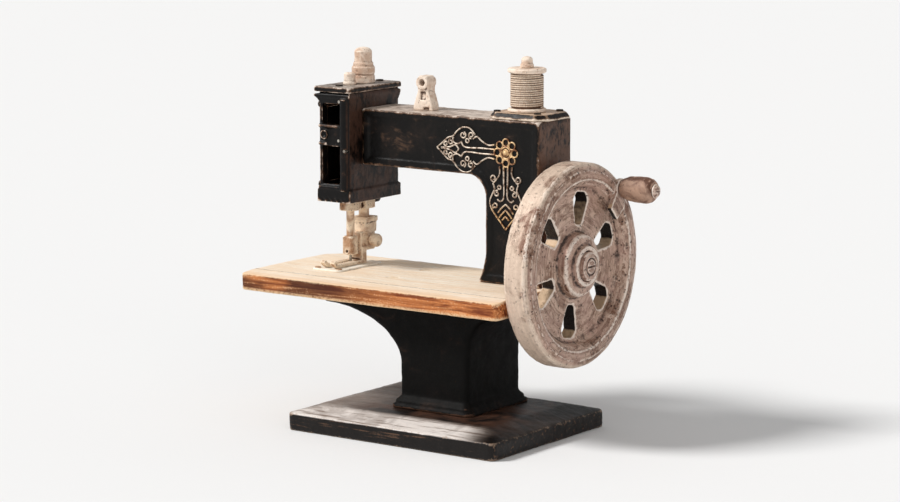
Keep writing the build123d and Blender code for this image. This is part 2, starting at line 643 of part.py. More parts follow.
def presser_nut():
    """Stepped, domed screw on the head that sets the pressure of the presser spring."""
    lower, upper = 5.7, 4.3
    z = cap_top + 0.1
    body = turned_z([(0, 149.8), (nut_stem_radius, 149.8), (nut_stem_radius, z), (lower, z), (lower, z + 3.6),
                     (lower - 0.6, z + 4.1), (lower, z + 4.6), (lower, z + 7.8), (lower - 0.9, z + 8.6),
                     (upper + 0.6, z + 8.6), (upper + 0.6, z + 9.8), (upper, z + 10.2), (upper, z + 15.6),
                     (upper - 1.0, z + 16.8), (upper - 2.6, z + 17.4), (0, z + 17.6)], bar_x, presser_y)
    return body - rod_z(bar_x, presser_y, 149, 156, presser_bar_radius + 0.2)


def needle_bar_cap():
    """Closed bush on the lid that guards the top of the needle bar."""
    z = cap_top
    body = turned_z([(0, z), (3.6, z), (3.6, z + 1.4), (3.1, z + 1.8), (3.1, z + 5.4), (2.3, z + 6.2), (0, z + 6.4)],
                    bar_x, needle_y)
    body += rod_z(bar_x, needle_y, head_top - 6, cap_top, needle_bar_radius + 1.0)
    return body - rod_z(bar_x, needle_y, head_top - 7, z + 5.0, needle_bar_radius + running)


spring_low, spring_high = 132.0, 149.8


def presser_spring():
    """Compression spring between the presser collar and the presser screw."""
    wire, turns = 0.45, 7
    radius = presser_bar_radius + 0.3 + wire
    height = spring_high - spring_low - 2 * wire
    path = Helix(pitch=height / turns, height=height, radius=radius)
    coil = sweep(Plane(origin=path @ 0, z_dir=path % 0) * Circle(wire), path=path)
    return Pos(bar_x, presser_y, spring_low + wire) * coil


presser_top = spring_high - presser_lift - 1.2
presser_foot_bottom = plate_top + 0.1


def presser_bar():
    """Bar with a fixed collar that the spring bears on."""
    return rod_z(bar_x, presser_y, presser_foot_bottom + 7, presser_top, presser_bar_radius)


def presser_collar():
    """Collar on the presser bar, with a finger that the lifter's cam raises."""
    z0, z1 = spring_low - 5, spring_low
    body = rod_z(bar_x, presser_y, z0, z1, presser_bar_radius + 1.3)
    finger_back = head_back - head_wall - 2.0
    body += block(bar_x - 0.8, bar_x + 0.8, presser_y, finger_back, z0, z0 + 2.0)
    body += block(bar_x - 0.8, bar_x + 0.8, finger_back - 6, finger_back, lifter_z + lifter_cam_low + cam_gap, z0 + 2)
    return body - rod_z(bar_x, presser_y, z0 - 1, z1 + 1, presser_bar_radius)


def presser_lifter():
    """Lever behind the head; its cam inside raises the presser bar as it turns."""
    cam_back = head_back - head_wall - 0.4
    points = []
    for step in range(13):
        turn = step * 7.5
        radius = lifter_cam_low + presser_lift * turn / 90
        points.append((radius * sin(radians(turn)), radius * cos(radians(turn))))
    points += [(2.2, -3.0), (-2.2, -3.0), (-2.6, 1.6)]
    cam = Pos(bar_x, 0, lifter_z) * slab_xz(polygon(points), cam_back - 6, cam_back)
    spindle = rod_y(bar_x, cam_back - 1, head_back + 3.0, lifter_z, 1.8)
    lever = slab_xz(Pos(bar_x, lifter_z) * Rot(0, 0, -20) * (
        Pos(0, -9) * RectangleRounded(4.4, 22, 2.1)), head_back + 0.9, head_back + 3.0)
    return cam + spindle + lever


def presser_foot():
    """Two-toed foot with a shank that clamps to the presser bar."""
    z0 = presser_foot_bottom
    half = 4.4
    side = make_face([
        Line((18.5, z0), (-3.5, z0)),
        ThreePointArc((-3.5, z0), (-6.2, z0 + 0.9), (-8.0, z0 + 3.0)),
        Line((-8.0, z0 + 3.0), (-6.4, z0 + 4.0)),
        ThreePointArc((-6.4, z0 + 4.0), (-5.0, z0 + 2.4), (-2.6, z0 + 1.8)),
        Line((-2.6, z0 + 1.8), (14.6, z0 + 1.8)),
        Line((14.6, z0 + 1.8), (14.6, z0 + 8.0)),
        Line((14.6, z0 + 8.0), (18.5, z0 + 8.0)),
        Line((18.5, z0 + 8.0), (18.5, z0)),
    ])
    foot = slab_yz(side, bar_x - half, bar_x + half)
    foot -= block(bar_x - 1.5, bar_x + 1.5, -10, needle_y + 2.4, z0 - 1, z0 + 5)
    foot += block(bar_x - 3.8, bar_x + 3.8, 14.6, presser_y + 4.2, z0 + 6.0, z0 + 15.5)
    foot -= rod_z(bar_x, presser_y, z0 + 7, z0 + 20, presser_bar_radius)
    return foot - rod_x(bar_x + 1, bar_x + 6, presser_y, z0 + 11, 1.1)


def foot_screw():
    """Thumb screw that clamps the foot to its bar."""
    z = presser_foot_bottom + 11
    start = bar_x + 3.8
    body = rod_x(bar_x + presser_bar_radius, start, presser_y, z, 1.1)
    body += rod_x(start, start + 1.2, presser_y, z, 2.0)
    return body + turned_x([(0, start + 1.2), (2.9, start + 1.2), (3.3, start + 2.0), (3.3, start + 4.6),
                            (2.7, start + 5.6), (0, start + 5.6)], presser_y, z)


clamp_low, clamp_high = 77.0, 86.0


def needle_clamp():
    """Block on the end of the needle bar that grips the needle."""
    body = block(bar_x - 3.0, bar_x + 3.0, needle_y - 3.2, needle_y + 2.9, clamp_low, clamp_high)
    body = fillet(body.edges().filter_by(Axis.Z), 1.3)
    body = fillet(body.edges().filter_by(Axis.X).sort_by(Axis.Z)[-1:], 0.8)
    body -= rod_z(bar_x, needle_y, clamp_low + 3, clamp_high + 1, needle_bar_radius)
    body -= rod_z(bar_x, needle_y, clamp_low - 1, clamp_high + 1, 0.7)
    return body - rod_y(bar_x, needle_y - 4, needle_y - 0.7, clamp_low + 1.6, 0.8)


def needle():
    """Needle with a tapered point and a long shank."""
    tip = bed_top - 8.0
    point = turned_z([(0, tip), (0.45, tip + 3.0), (0.6, tip + 4.0), (0.6, tip + 14), (0.7, tip + 15),
                      (0.7, clamp_low + 3.0), (0, clamp_low + 3.0)], bar_x, needle_y)
    return point - rod_y(bar_x, needle_y - 2, needle_y + 2, tip + 4.4, 0.22)


save("head_casing", head_casing())
save("head_screws", *[screw_x(head_screw_y, z, head_right - head_wall, 7.8, 1.0, 1.9, 1.2) for z in head_screw_zs])
save("head_cap", head_cap())
save("head_cap_screws", *[screw_z(cap_screw_x, y, cap_top, 4.2, 0.9, 1.8, 0.7) for y in cap_screw_ys])
save("face_plate", face_plate())
save("face_plate_screws", *[screw_x(y, z, face_left, 3.0, 0.9, 1.6, 0.7) for y, z in face_screw_places])
save("head_front_screws", *[rod_y(x, head_front - (2.6 if x > trim_x else 0.7), head_front + 1.2, z, 0.7)
                            for x, z in trim_screw_places])
save("bar_guide", bar_guide())
save("presser_nut", presser_nut())
save("needle_bar_cap", needle_bar_cap())
save("presser_spring", presser_spring())
save("presser_bar", presser_bar())
save("presser_collar", presser_collar())
save("presser_lifter", presser_lifter())
save("presser_foot", presser_foot())
save("foot_screw", foot_screw())
save("needle_clamp", needle_clamp())
save("needle", needle())


# ---------------------------------------------------------------- needle drive
driver_low, driver_high = stud_z - 3.0, stud_z + 3.0


def needle_bar():
    """Bar with a driver collar whose stud rides in the slot of the needle lever."""
    top = cap_top + 5.0 - needle_stroke - 1.2
    body = rod_z(bar_x, needle_y, clamp_low + 3, top, needle_bar_radius)
    body += rod_z(bar_x, needle_y, driver_low, driver_high, needle_bar_radius + 1.1)
    return body + rod_y(bar_x, needle_y, lever_back, stud_z, 1.3)


def needle_lever():
    """Rocking lever inside the arm, from the pitman in the column to the needle bar."""
    nose, tail = lever_pivot_x - lever_nose, lever_pivot_x + lever_tail
    z = lever_pivot_z
    outline = polygon([(nose - 3.6, z - 3.0), (nose + 3.6, z - 3.0), (lever_pivot_x - 5, z - 4.6),
                       (lever_pivot_x + 5, z - 4.6), (tail - 1, z - 2.2), (tail - 1, z + 2.2),
                       (lever_pivot_x + 5, z + 4.6), (lever_pivot_x - 5, z + 4.6), (nose + 3.6, z + 3.0),
                       (nose - 3.6, z + 3.0)])
    body = slab_xz(outline, lever_front, lever_back) + rod_y(tail, lever_front, lever_back, z, 2.4)
    body -= rod_y(lever_pivot_x, lever_front - 1, lever_back + 1, z, 2.0 + running)
    body -= rod_y(tail, lever_front - 1, lever_back + 1, z, 1.2)
    body -= block(nose - 2.1, nose + 2.1, lever_front - 1, lever_back + 1, z - 1.38, z + 1.38)
    return body.rotate(Axis((lever_pivot_x, 0, z), (0, 1, 0)), -lever_swing)


def pitman():
    """Connecting rod from the crank pin up to the forked joint at the lever's tail."""
    eye_z = shaft_z + crank_radius
    eye_left = pin_end - pin_gap - pitman_thickness
    middle = eye_left + pitman_thickness / 2
    cheek = 1.7
    fork_low = tail_z - 7.5
    outer_front, outer_back = lever_front - gap - cheek, lever_back + gap + cheek
    fork = rod_y(tail_x, outer_front, outer_back, tail_z, 2.6)
    fork += block(tail_x - 2.0, tail_x + 2.0, outer_front, outer_back, fork_low, tail_z)
    fork -= block(tail_x - 4, tail_x + 4, lever_front - gap, lever_back + gap, fork_low + 3.0, tail_z + 4)
    fork -= rod_y(tail_x, outer_front - 1, outer_back + 1, tail_z, 1.2 + running)
    stem = rod_z(middle, shaft_y, eye_z + 1.5, fork_low + 1, pitman_thickness / 2 - 0.1)
    eye = rod_x(eye_left, eye_left + pitman_thickness, shaft_y, eye_z, 3.2)
    eye -= rod_x(eye_left - 1, eye_left + 4, shaft_y, eye_z, 1.6)
    return fork + stem + eye


def crank_disc():
    """Disc on the inner end of the main shaft, with the crank pin."""
    disc = rod_x(disc_left, disc_right, shaft_y, shaft_z, crank_radius + 2.2)
    disc = chamfer(disc.edges(), 0.4)
    disc -= rod_x(disc_left + 1.0, disc_right + 1, shaft_y, shaft_z, shaft_radius - 1.0)
    return disc + rod_x(pin_end, disc_left, shaft_y, shaft_z + crank_radius, 1.3)


def main_shaft():
    """Shaft through the column, stepped down where the crank disc is pressed on."""
    shaft = rod_x(disc_right, wheel_face + 0.8, shaft_y, shaft_z, shaft_radius)
    return shaft + rod_x(disc_left + 1.0, disc_right, shaft_y, shaft_z, shaft_radius - 1.0)


bush_right = column_right + 2.2

save("needle_bar", needle_bar())
save("needle_lever", needle_lever())
save("lever_pivot", screw_y(lever_pivot_x, lever_pivot_z, arm_back, arm_back - front_inner - 0.1, 2.0, 3.4, 1.2))
save("pitman", pitman())
save("pitman_pin", rod_y(tail_x, lever_front - gap - 1.7, lever_back + gap + 1.7, tail_z, 1.2))
save("crank_disc", crank_disc())
save("main_shaft", main_shaft())
save("shaft_gear", spur_gear(gear_left, gear_right, shaft_y, shaft_z, shaft_radius))
save("idler_gear", spur_gear(gear_left, gear_right, shaft_y, idler_z, 1.5 + running, turn=180 / gear_teeth))
save("idler_stud", rod_x(gear_left - 0.3, boss_left + 7, shaft_y, idler_z, 1.5)
     + rod_x(gear_left - 1.0, gear_left - 0.3, shaft_y, idler_z, 2.4))
save("shaft_bush", rod_x(boss_left, bush_right, shaft_y, shaft_z, bush_radius)
     - rod_x(boss_left - 1, bush_right + 1, shaft_y, shaft_z, shaft_radius + running))


# ---------------------------------------------------------------- handwheel and crank handle
def wheel_hole(angle):
    """One of the rounded, tapering holes in the web."""
    near, far = hub_radius + 4.4, rim_inner - 2.6
    shoulder = far - 3.6
    wide = shoulder * 0.2
    wedge = polygon([(near, -2.6), (shoulder, -wide), (far, -3.6), (far, 3.6), (shoulder, wide), (near, 2.6)])
    wedge = fillet(wedge.vertices(), 1.8)
    return Pos(0, shaft_y, shaft_z) * slab_yz(Rot(0, 0, angle) * wedge, wheel_back, wheel_face)


def handwheel():
    """Cast wheel: a heavy moulded rim, a sunk web with six holes, and a stepped hub."""
    profile = [(hub_radius, web_left), (hub_radius - 4, wheel_back - 1.2), (shaft_radius, wheel_back - 1.2),
               (shaft_radius, wheel_face + 0.8), (7.2, wheel_face + 0.8), (7.6, wheel_face + 2.0),
               (9.4, wheel_face + 2.0), (9.9, wheel_face - 0.4), (hub_radius - 0.9, wheel_face - 0.8),
               (hub_radius, wheel_face - 1.6), (hub_radius + 0.9, web_right), (rim_inner - 1.6, web_right),
               (rim_inner - 0.2, web_right + 0.6), (rim_inner + 1.4, wheel_face - 2.2),
               (rim_inner + 2.4, wheel_face - 1.6), (rim_inner + 3.4, wheel_face),
               (wheel_radius - 3.4, wheel_face), (wheel_radius - 2.8, wheel_face - 0.7),
               (wheel_radius - 1.5, wheel_face - 0.9), (wheel_radius - 0.5, wheel_face - 1.6),
               (wheel_radius, wheel_face - 2.6), (wheel_radius, wheel_back + 1.5),
               (wheel_radius - 0.6, wheel_back + 0.5), (wheel_radius - 1.6, wheel_back),
               (rim_inner + 1.2, wheel_back), (rim_inner, wheel_back + 0.6), (rim_inner - 0.6, web_left)]
    body = turned_x(profile, shaft_y, shaft_z)
    for spoke in range(spoke_holes):
        body -= wheel_hole(21 + spoke * 360 / spoke_holes)
    body -= slab_yz(handle_seat_outline(), wheel_face - 1.6, wheel_face + 3)
    return body - rod_x(wheel_face - 9, wheel_face + 1, handle_y, handle_z, stud_radius)


def handle_seat_outline():
    """Outline in YZ of the plate under the handle: a round pad with a broad pointed tongue."""
    tongue = polygon([(handle_y - 2.4, handle_z + 1.5), (handle_y + 3.4, handle_z + 1.0),
                      (handle_y + 2.2, handle_z - 9.5), (handle_y - 4.2, handle_z - 14.6),
                      (handle_y - 9.6, handle_z - 8.9)])
    return tongue + Pos(handle_y, handle_z) * Circle(4.6)


def crank_plate():
    """Plate let into the rim that carries the handle's stud."""
    plate = slab_yz(handle_seat_outline(), wheel_face - 1.6, wheel_face + 0.9)
    return plate - rod_x(wheel_face - 3, wheel_face + 2, handle_y, handle_z, stud_radius)


handle_start = wheel_face + 1.2
handle_end = handle_start + handle_length


def crank_stud():
    """Stud on which the handle turns."""
    return rod_x(wheel_face - 8, handle_end + 0.2, handle_y, handle_z, stud_radius)


def handle_grip():
    """Barrel handle, fuller towards its outer end."""
    r = handle_radius
    bore = stud_radius + running
    return turned_x([(bore, handle_start), (r - 2.4, handle_start), (r - 1.4, handle_start + 0.8),
                     (r - 0.4, handle_start + 4.0), (r, handle_start + 8.5), (r, handle_start + 13.5),
                     (r - 0.7, handle_end - 1.6), (r - 1.6, handle_end - 0.6), (r - 2.2, handle_end),
                     (bore, handle_end)], handle_y, handle_z)


def handle_screw():
    """Domed screw that keeps the handle on its stud."""
    x = handle_end + 0.2
    body = turned_x([(0, x), (3.4, x), (3.4, x + 0.5), (2.5, x + 1.5), (1.2, x + 2.0), (0, x + 2.1)],
                    handle_y, handle_z)
    return body - block(x + 1.4, x + 3, handle_y - 4, handle_y + 4, handle_z - 0.3, handle_z + 0.3)


def wheel_screw():
    """Slotted disc screw in the middle of the hub."""
    x = wheel_face + 0.8
    body = turned_x([(0, x), (6.8, x), (6.8, x + 2.2), (6.2, x + 2.9), (4.6, x + 3.1), (4.2, x + 2.5),
                     (3.6, x + 2.5), (3.2, x + 3.2), (0, x + 3.4)], shaft_y, shaft_z)
    return body - block(x + 2.6, x + 5, shaft_y - 3.0, shaft_y + 3.0, shaft_z - 0.5, shaft_z + 0.5)


save("handwheel", handwheel())
save("wheel_screw", wheel_screw())
save("crank_plate", crank_plate())
save("crank_stud", crank_stud())
save("handle_grip", handle_grip())
save("handle_screw", handle_screw())


# ---------------------------------------------------------------- thread
def thread_guide():
    """Post on the arm with an eye that faces forward and a knob behind it."""
    z = arm_top
    eye_z = z + 13.4
    side = polygon([(-5.6, z), (5.6, z), (5.4, z + 2.2), (4.2, z + 6.0), (3.0, z + 9.2), (3.6, z + 13.4),
                    (2.2, z + 16.6), (-2.2, z + 16.6), (-3.6, z + 13.4), (-3.0, z + 9.2), (-4.2, z + 6.0),
                    (-5.4, z + 2.2)])
    front, back = guide_y - 3.0, guide_y + 3.0
    post = slab_xz(Pos(guide_x, 0) * side, front, back)
    post += rod_y(guide_x, front - 1.0, front + 1, eye_z, 3.4)
    post -= rod_y(guide_x, front - 2, back + 1, eye_z, 1.7)
    post -= block(guide_x - 1.6, guide_x + 1.6, front - 1, front + 1.0, z + 4.8, z + 9.0)
    post -= block(guide_x + 0.2, guide_x + 3.6, front - 1, front + 1.2, z - 0.1, z + 1.4)
    post += block(guide_x - 3.2, guide_x + 3.2, back - 0.5, back + 2.4, z, z + 3.2)
    post += rod_y(guide_x, back - 0.4, back + 1.4, eye_z, 2.9) - rod_y(guide_x, back - 1, back + 2, eye_z, 1.7)
    return post - rod_z(guide_x, guide_y, z - 1, z + 4.0, 1.2)


spool_base = arm_top + 3.0 + 0.1


def spool():
    """Bobbin-shaped spool with stepped flanges."""
    z0, z1 = spool_base, spool_base + spool_height
    bore = spool_pin_radius + running
    return turned_z([(bore, z0), (spool_radius, z0), (spool_radius, z0 + 1.2), (spool_radius - 0.7, z0 + 1.6),
                     (6.2, z0 + 1.6), (6.2, z1 - 2.4), (spool_radius - 0.9, z1 - 2.4), (spool_radius, z1 - 1.9),
                     (spool_radius, z1 - 0.5), (spool_radius - 0.6, z1), (bore, z1)], spool_x, spool_y)


def thread_winding():
    """Thread wound on the spool, drawn as one ridged sleeve."""
    z0, z1 = spool_base + 1.6, spool_base + spool_height - 2.4
    turns = 15
    pitch = (z1 - z0) / turns
    points = [(6.2, z0)]
    for turn in range(turns):
        points.append((winding_radius - 0.35, z0 + turn * pitch))
        points.append((winding_radius, z0 + (turn + 0.5) * pitch))
    points += [(winding_radius - 0.35, z1), (6.2, z1)]
    return turned_z(points, spool_x, spool_y)


def spool_pin():
    """Pin through the cap, with a shouldered knob above the spool."""
    top = spool_base + spool_height
    return turned_z([(0, arm_top - 3.0), (1.6, arm_top - 3.0), (1.6, arm_top + 3.0), (spool_pin_radius, arm_top + 3.0),
                     (spool_pin_radius, top + 0.2), (3.2, top + 0.2), (3.2, top + 1.6), (2.7, top + 2.2),
                     (2.7, top + 4.2), (1.8, top + 5.2), (0, top + 5.5)], spool_x, spool_y)


save("thread_guide", thread_guide())
save("guide_screw", rod_z(guide_x, guide_y, tunnel_top - 0.2, arm_top + 3.8, 1.2)
     + rod_z(guide_x, guide_y, tunnel_top - 1.4, tunnel_top - 0.0, 2.2))
save("spool", spool())
save("thread_winding", thread_winding())
save("spool_pin", spool_pin())

print("needle lever: degrees", 2 * lever_swing, "needle stroke", round(2 * nose_drop, 4))
print("pitman top", round(tail_x, 4), round(tail_z, 4), "stud z", round(stud_z, 4), "idler z", idler_z)
print("gear module", 2 * gear_pitch_radius / gear_teeth, "handle", handle_start, handle_end)
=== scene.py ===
"""Looks of a miniature hand-cranked sewing machine: worn black enamel, scrubbed bed, cream castings."""
import json
import math

import bmesh
import bpy
import numpy as np
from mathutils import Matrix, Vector


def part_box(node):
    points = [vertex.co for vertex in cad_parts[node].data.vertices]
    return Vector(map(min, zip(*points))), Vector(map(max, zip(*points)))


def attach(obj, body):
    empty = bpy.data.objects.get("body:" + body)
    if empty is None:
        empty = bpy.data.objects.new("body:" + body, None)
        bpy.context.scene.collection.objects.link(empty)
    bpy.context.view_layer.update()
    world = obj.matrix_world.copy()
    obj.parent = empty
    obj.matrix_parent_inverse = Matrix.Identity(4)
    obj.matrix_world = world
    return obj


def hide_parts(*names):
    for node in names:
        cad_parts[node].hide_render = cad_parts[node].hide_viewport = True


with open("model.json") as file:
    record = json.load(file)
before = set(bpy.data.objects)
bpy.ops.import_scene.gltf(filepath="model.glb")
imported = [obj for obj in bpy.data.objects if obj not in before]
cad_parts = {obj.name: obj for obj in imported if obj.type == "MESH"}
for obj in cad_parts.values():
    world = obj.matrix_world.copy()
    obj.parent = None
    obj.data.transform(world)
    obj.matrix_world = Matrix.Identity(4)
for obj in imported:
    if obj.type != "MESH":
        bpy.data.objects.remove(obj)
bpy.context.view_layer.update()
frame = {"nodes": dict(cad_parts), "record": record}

# Sizes and places are in mm; Blender's are in metres.
MM = 0.001
NODES = frame["nodes"]
SLOT_OF = {part["node"]: part["material_slot"] for part in frame["record"]["subparts"]}
BODY_OF = {node: body for body, members in frame["record"]["behaviour"]["bodies"].items() for node in members}


def box_mm(node):
    """Lowest and highest corner of a CAD node."""
    low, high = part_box(node)
    return low / MM, high / MM


def middle_mm(node):
    """Centre of a CAD node's box."""
    low, high = box_mm(node)
    return (low + high) / 2


WHEEL = middle_mm("handwheel")
WHEEL_RADIUS = box_mm("handwheel")[1].y - WHEEL.y
WEB_HOLES = (17.2, 35.6)       # radii that the holes' walls lie between
SPOOL = middle_mm("spool")
THREAD_RADIUS = box_mm("thread_winding")[1].y - SPOOL.y
COLUMN_SIDE = (40.0, 46.0)     # X over which rust sets in on the column's right side
HEAD_SIDE = (-58.0, -56.0)     # X over which rust sets in on the head's right side
ROSETTE_RADIUS = 7.9           # the rosette fills the upper right corner of the ornament's box
ORNAMENT_CORNER = box_mm("arm_ornament")[1]
ROSETTE_X = ORNAMENT_CORNER.x - ROSETTE_RADIUS
ROSETTE_Z = ORNAMENT_CORNER.z - ROSETTE_RADIUS
ARM_FRONT = ORNAMENT_CORNER.y  # Y of the face that the scrollwork lies on


# ------------------------------------------------------------------ node materials
def tone(red, green, blue):
    """A display colour, 0 to 255, as linear light."""
    linear = []
    for value in (red, green, blue):
        share = value / 255
        linear.append(share / 12.92 if share <= 0.04045 else ((share + 0.055) / 1.055) ** 2.4)
    return (*linear, 1.0)


class Paint:
    """A material under construction: small calls that add a node and return its output."""

    def __init__(self, name, roughness=0.5, metallic=0.0, specular=0.35):
        self.material = bpy.data.materials.new(name)
        self.material.use_nodes = True
        self.tree = self.material.node_tree
        self.shader = self.tree.nodes["Principled BSDF"]
        self.shader.inputs["Roughness"].default_value = roughness
        self.shader.inputs["Metallic"].default_value = metallic
        self.shader.inputs["Specular IOR Level"].default_value = specular
        self.place = self.tree.nodes.new("ShaderNodeTexCoord").outputs["Object"]

    def link(self, source, target):
        self.tree.links.new(source, target)

    def feed(self, socket, value):
        """Link an output, or set a plain value."""
        if isinstance(value, bpy.types.NodeSocket):
            self.link(value, socket)
        else:
            socket.default_value = value

    def stretched(self, x, y, z):
        """Object coordinates scaled apart along each axis."""
        node = self.tree.nodes.new("ShaderNodeMapping")
        self.link(self.place, node.inputs["Vector"])
        node.inputs["Scale"].default_value = (x, y, z)
        return node.outputs["Vector"]

    def noise(self, size, detail, rough, warp=0.0, place=None):
        """Noise whose features are about size across."""
        node = self.tree.nodes.new("ShaderNodeTexNoise")
        self.link(place or self.place, node.inputs["Vector"])
        node.inputs["Scale"].default_value = 1 / (size * MM)
        node.inputs["Detail"].default_value = detail
        node.inputs["Roughness"].default_value = rough
        node.inputs["Distortion"].default_value = warp
        return node.outputs["Fac"]

    def cells(self, size):
        """Distance to points scattered about size apart, for pits and flecks."""
        node = self.tree.nodes.new("ShaderNodeTexVoronoi")
        self.link(self.place, node.inputs["Vector"])
        node.inputs["Scale"].default_value = 1 / (size * MM)
        return node.outputs["Distance"]

    def field(self, name):
        """A value stored on the mesh."""
        node = self.tree.nodes.new("ShaderNodeAttribute")
        node.attribute_name = name
        return node.outputs["Fac"]

    def axis(self, name, source=None):
        """One component of the place, or of the surface normal."""
        node = self.tree.nodes.new("ShaderNodeSeparateXYZ")
        self.link(source or self.place, node.inputs[0])
        return node.outputs[name]

    def facing(self, name):
        """How far the surface faces along an axis of the piece."""
        node = self.tree.nodes.new("ShaderNodeTexCoord")
        return self.axis(name, node.outputs["Normal"])

    def math(self, kind, a, b=0.0):
        node = self.tree.nodes.new("ShaderNodeMath")
        node.operation = kind
        self.feed(node.inputs[0], a)
        self.feed(node.inputs[1], b)
        return node.outputs[0]

    def plus(self, a, b):
        return self.math("ADD", a, b)

    def minus(self, a, b):
        return self.math("SUBTRACT", a, b)

    def both(self, a, b):
        """The product: of two shares, where both hold."""
        return self.math("MULTIPLY", a, b)

    def either(self, a, b):
        return self.math("MAXIMUM", a, b)

    def between(self, value, low, high):
        """0 below low, 1 above high, smooth between them; low may be above high."""
        node = self.tree.nodes.new("ShaderNodeMapRange")
        node.interpolation_type = "SMOOTHSTEP"
        self.feed(node.inputs["Value"], value)
        flipped = low > high
        node.inputs["From Min"].default_value = high if flipped else low
        node.inputs["From Max"].default_value = low if flipped else high
        node.inputs["To Min"].default_value = 1.0 if flipped else 0.0
        node.inputs["To Max"].default_value = 0.0 if flipped else 1.0
        return node.outputs["Result"]

    def along(self, place, start, end):
        """As between, for a place or a distance."""
        return self.between(place, start * MM, end * MM)

    def mix(self, share, a, b):
        """A colour between a and b."""
        node = self.tree.nodes.new("ShaderNodeMix")
        node.data_type = "RGBA"
        self.feed(node.inputs[0], share)
        self.feed(node.inputs[6], a)
        self.feed(node.inputs[7], b)
        return node.outputs[2]

    def blend(self, share, a, b):
        """A plain number between a and b."""
        node = self.tree.nodes.new("ShaderNodeMix")
        self.feed(node.inputs[0], share)
        self.feed(node.inputs[2], a)
        self.feed(node.inputs[3], b)
        return node.outputs[0]

    def vector(self, x, y, z):
        node = self.tree.nodes.new("ShaderNodeCombineXYZ")
        for socket, value in zip(node.inputs, (x, y, z)):
            self.feed(socket, value)
        return node.outputs[0]

    def distance(self, first, first_at, second, second_at):
        """Distance from the line on which two coordinates have the given values."""
        across = self.minus(self.axis(first), first_at * MM)
        upward = self.minus(self.axis(second), second_at * MM)
        return self.math("SQRT", self.plus(self.both(across, across), self.both(upward, upward)))

    def finish(self, colour, roughness=None, height=None, depth=0.0):
        """The finished material; height runs from 0 to 1 and stands for a relief of that depth."""
        self.feed(self.shader.inputs["Base Color"], colour)
        if roughness is not None:
            self.feed(self.shader.inputs["Roughness"], roughness)
        if height is not None:
            bump = self.tree.nodes.new("ShaderNodeBump")
            bump.inputs["Strength"].default_value = 1.0
            bump.inputs["Distance"].default_value = depth * MM
            self.link(height, bump.inputs["Height"])
            self.link(bump.outputs["Normal"], self.shader.inputs["Normal"])
        return self.material


def distressed(name, deep, body, rub, bright, rub_at, bright_at, top=None, side=None,
               specular=0.2, gloss=(0.30, 0.55), depth=0.3, specks=0.25, smears=0.60):
    """Black paint rubbed through at its edges, dark in its crevices, brushed and a little uneven.

    Faces that point up take two paler tones in a share of their own, painted highlight together with wear,
    and the right side rusts over a stretch of X.
    """
    paint = Paint(name, specular=specular)
    broad = paint.noise(20, 5, 0.6, 0.6)
    middle = paint.noise(4.5, 6, 0.65, 0.4)
    fine = paint.noise(1.1, 5, 0.7)
    streak = paint.noise(2.2, 6, 0.66, 0.5, paint.stretched(0.25, 1.0, 0.5))
    edge = paint.field("edge")
    ragged = paint.plus(paint.both(middle, 0.75), paint.both(fine, 0.35))
    worn_edge = paint.plus(edge, paint.minus(ragged, 0.55))
    colour = paint.mix(paint.between(broad, 0.46, 0.70), deep, body)
    smear = paint.both(paint.between(broad, 0.50, 0.66), paint.between(streak, 0.50, 0.66))
    colour = paint.mix(paint.both(smear, smears), colour, rub)
    if side:
        rust_from, rust_to, rust = side
        rightward = paint.between(paint.facing("X"), 0.75, 0.95)
        rusted = paint.both(rightward, paint.along(paint.axis("X"), rust_from, rust_to))
        rusted = paint.both(rusted, paint.between(paint.plus(broad, streak), 0.80, 1.10))
        colour = paint.mix(paint.both(rusted, 0.85), colour, rust)
    colour = paint.mix(paint.between(worn_edge, rub_at, rub_at + 0.18), colour, rub)
    colour = paint.mix(paint.between(worn_edge, bright_at, bright_at + 0.12), colour, bright)
    # Painted highlight together with wear: faces that point up turn pale.
    if top:
        dull, pale, share = top
        upward = paint.between(paint.facing("Z"), 0.80, 0.97)
        smeared = paint.plus(paint.both(streak, 0.7), paint.both(broad, 0.3))
        above = paint.mix(paint.between(smeared, 0.36, 0.60), dull, pale)
        above = paint.mix(paint.both(paint.between(middle, 0.40, 0.30), 0.6), above, body)
        colour = paint.mix(paint.both(upward, share), colour, above)
    flecks = paint.both(paint.between(paint.cells(2.4), 0.14, 0.07), paint.between(middle, 0.56, 0.72))
    colour = paint.mix(paint.both(flecks, specks), colour, bright)
    colour = paint.mix(paint.both(paint.field("pit"), 0.9), colour, deep)
    height = paint.plus(paint.both(middle, 0.6), paint.both(fine, 0.35))
    return paint.finish(colour, paint.blend(middle, *gloss), height, depth)


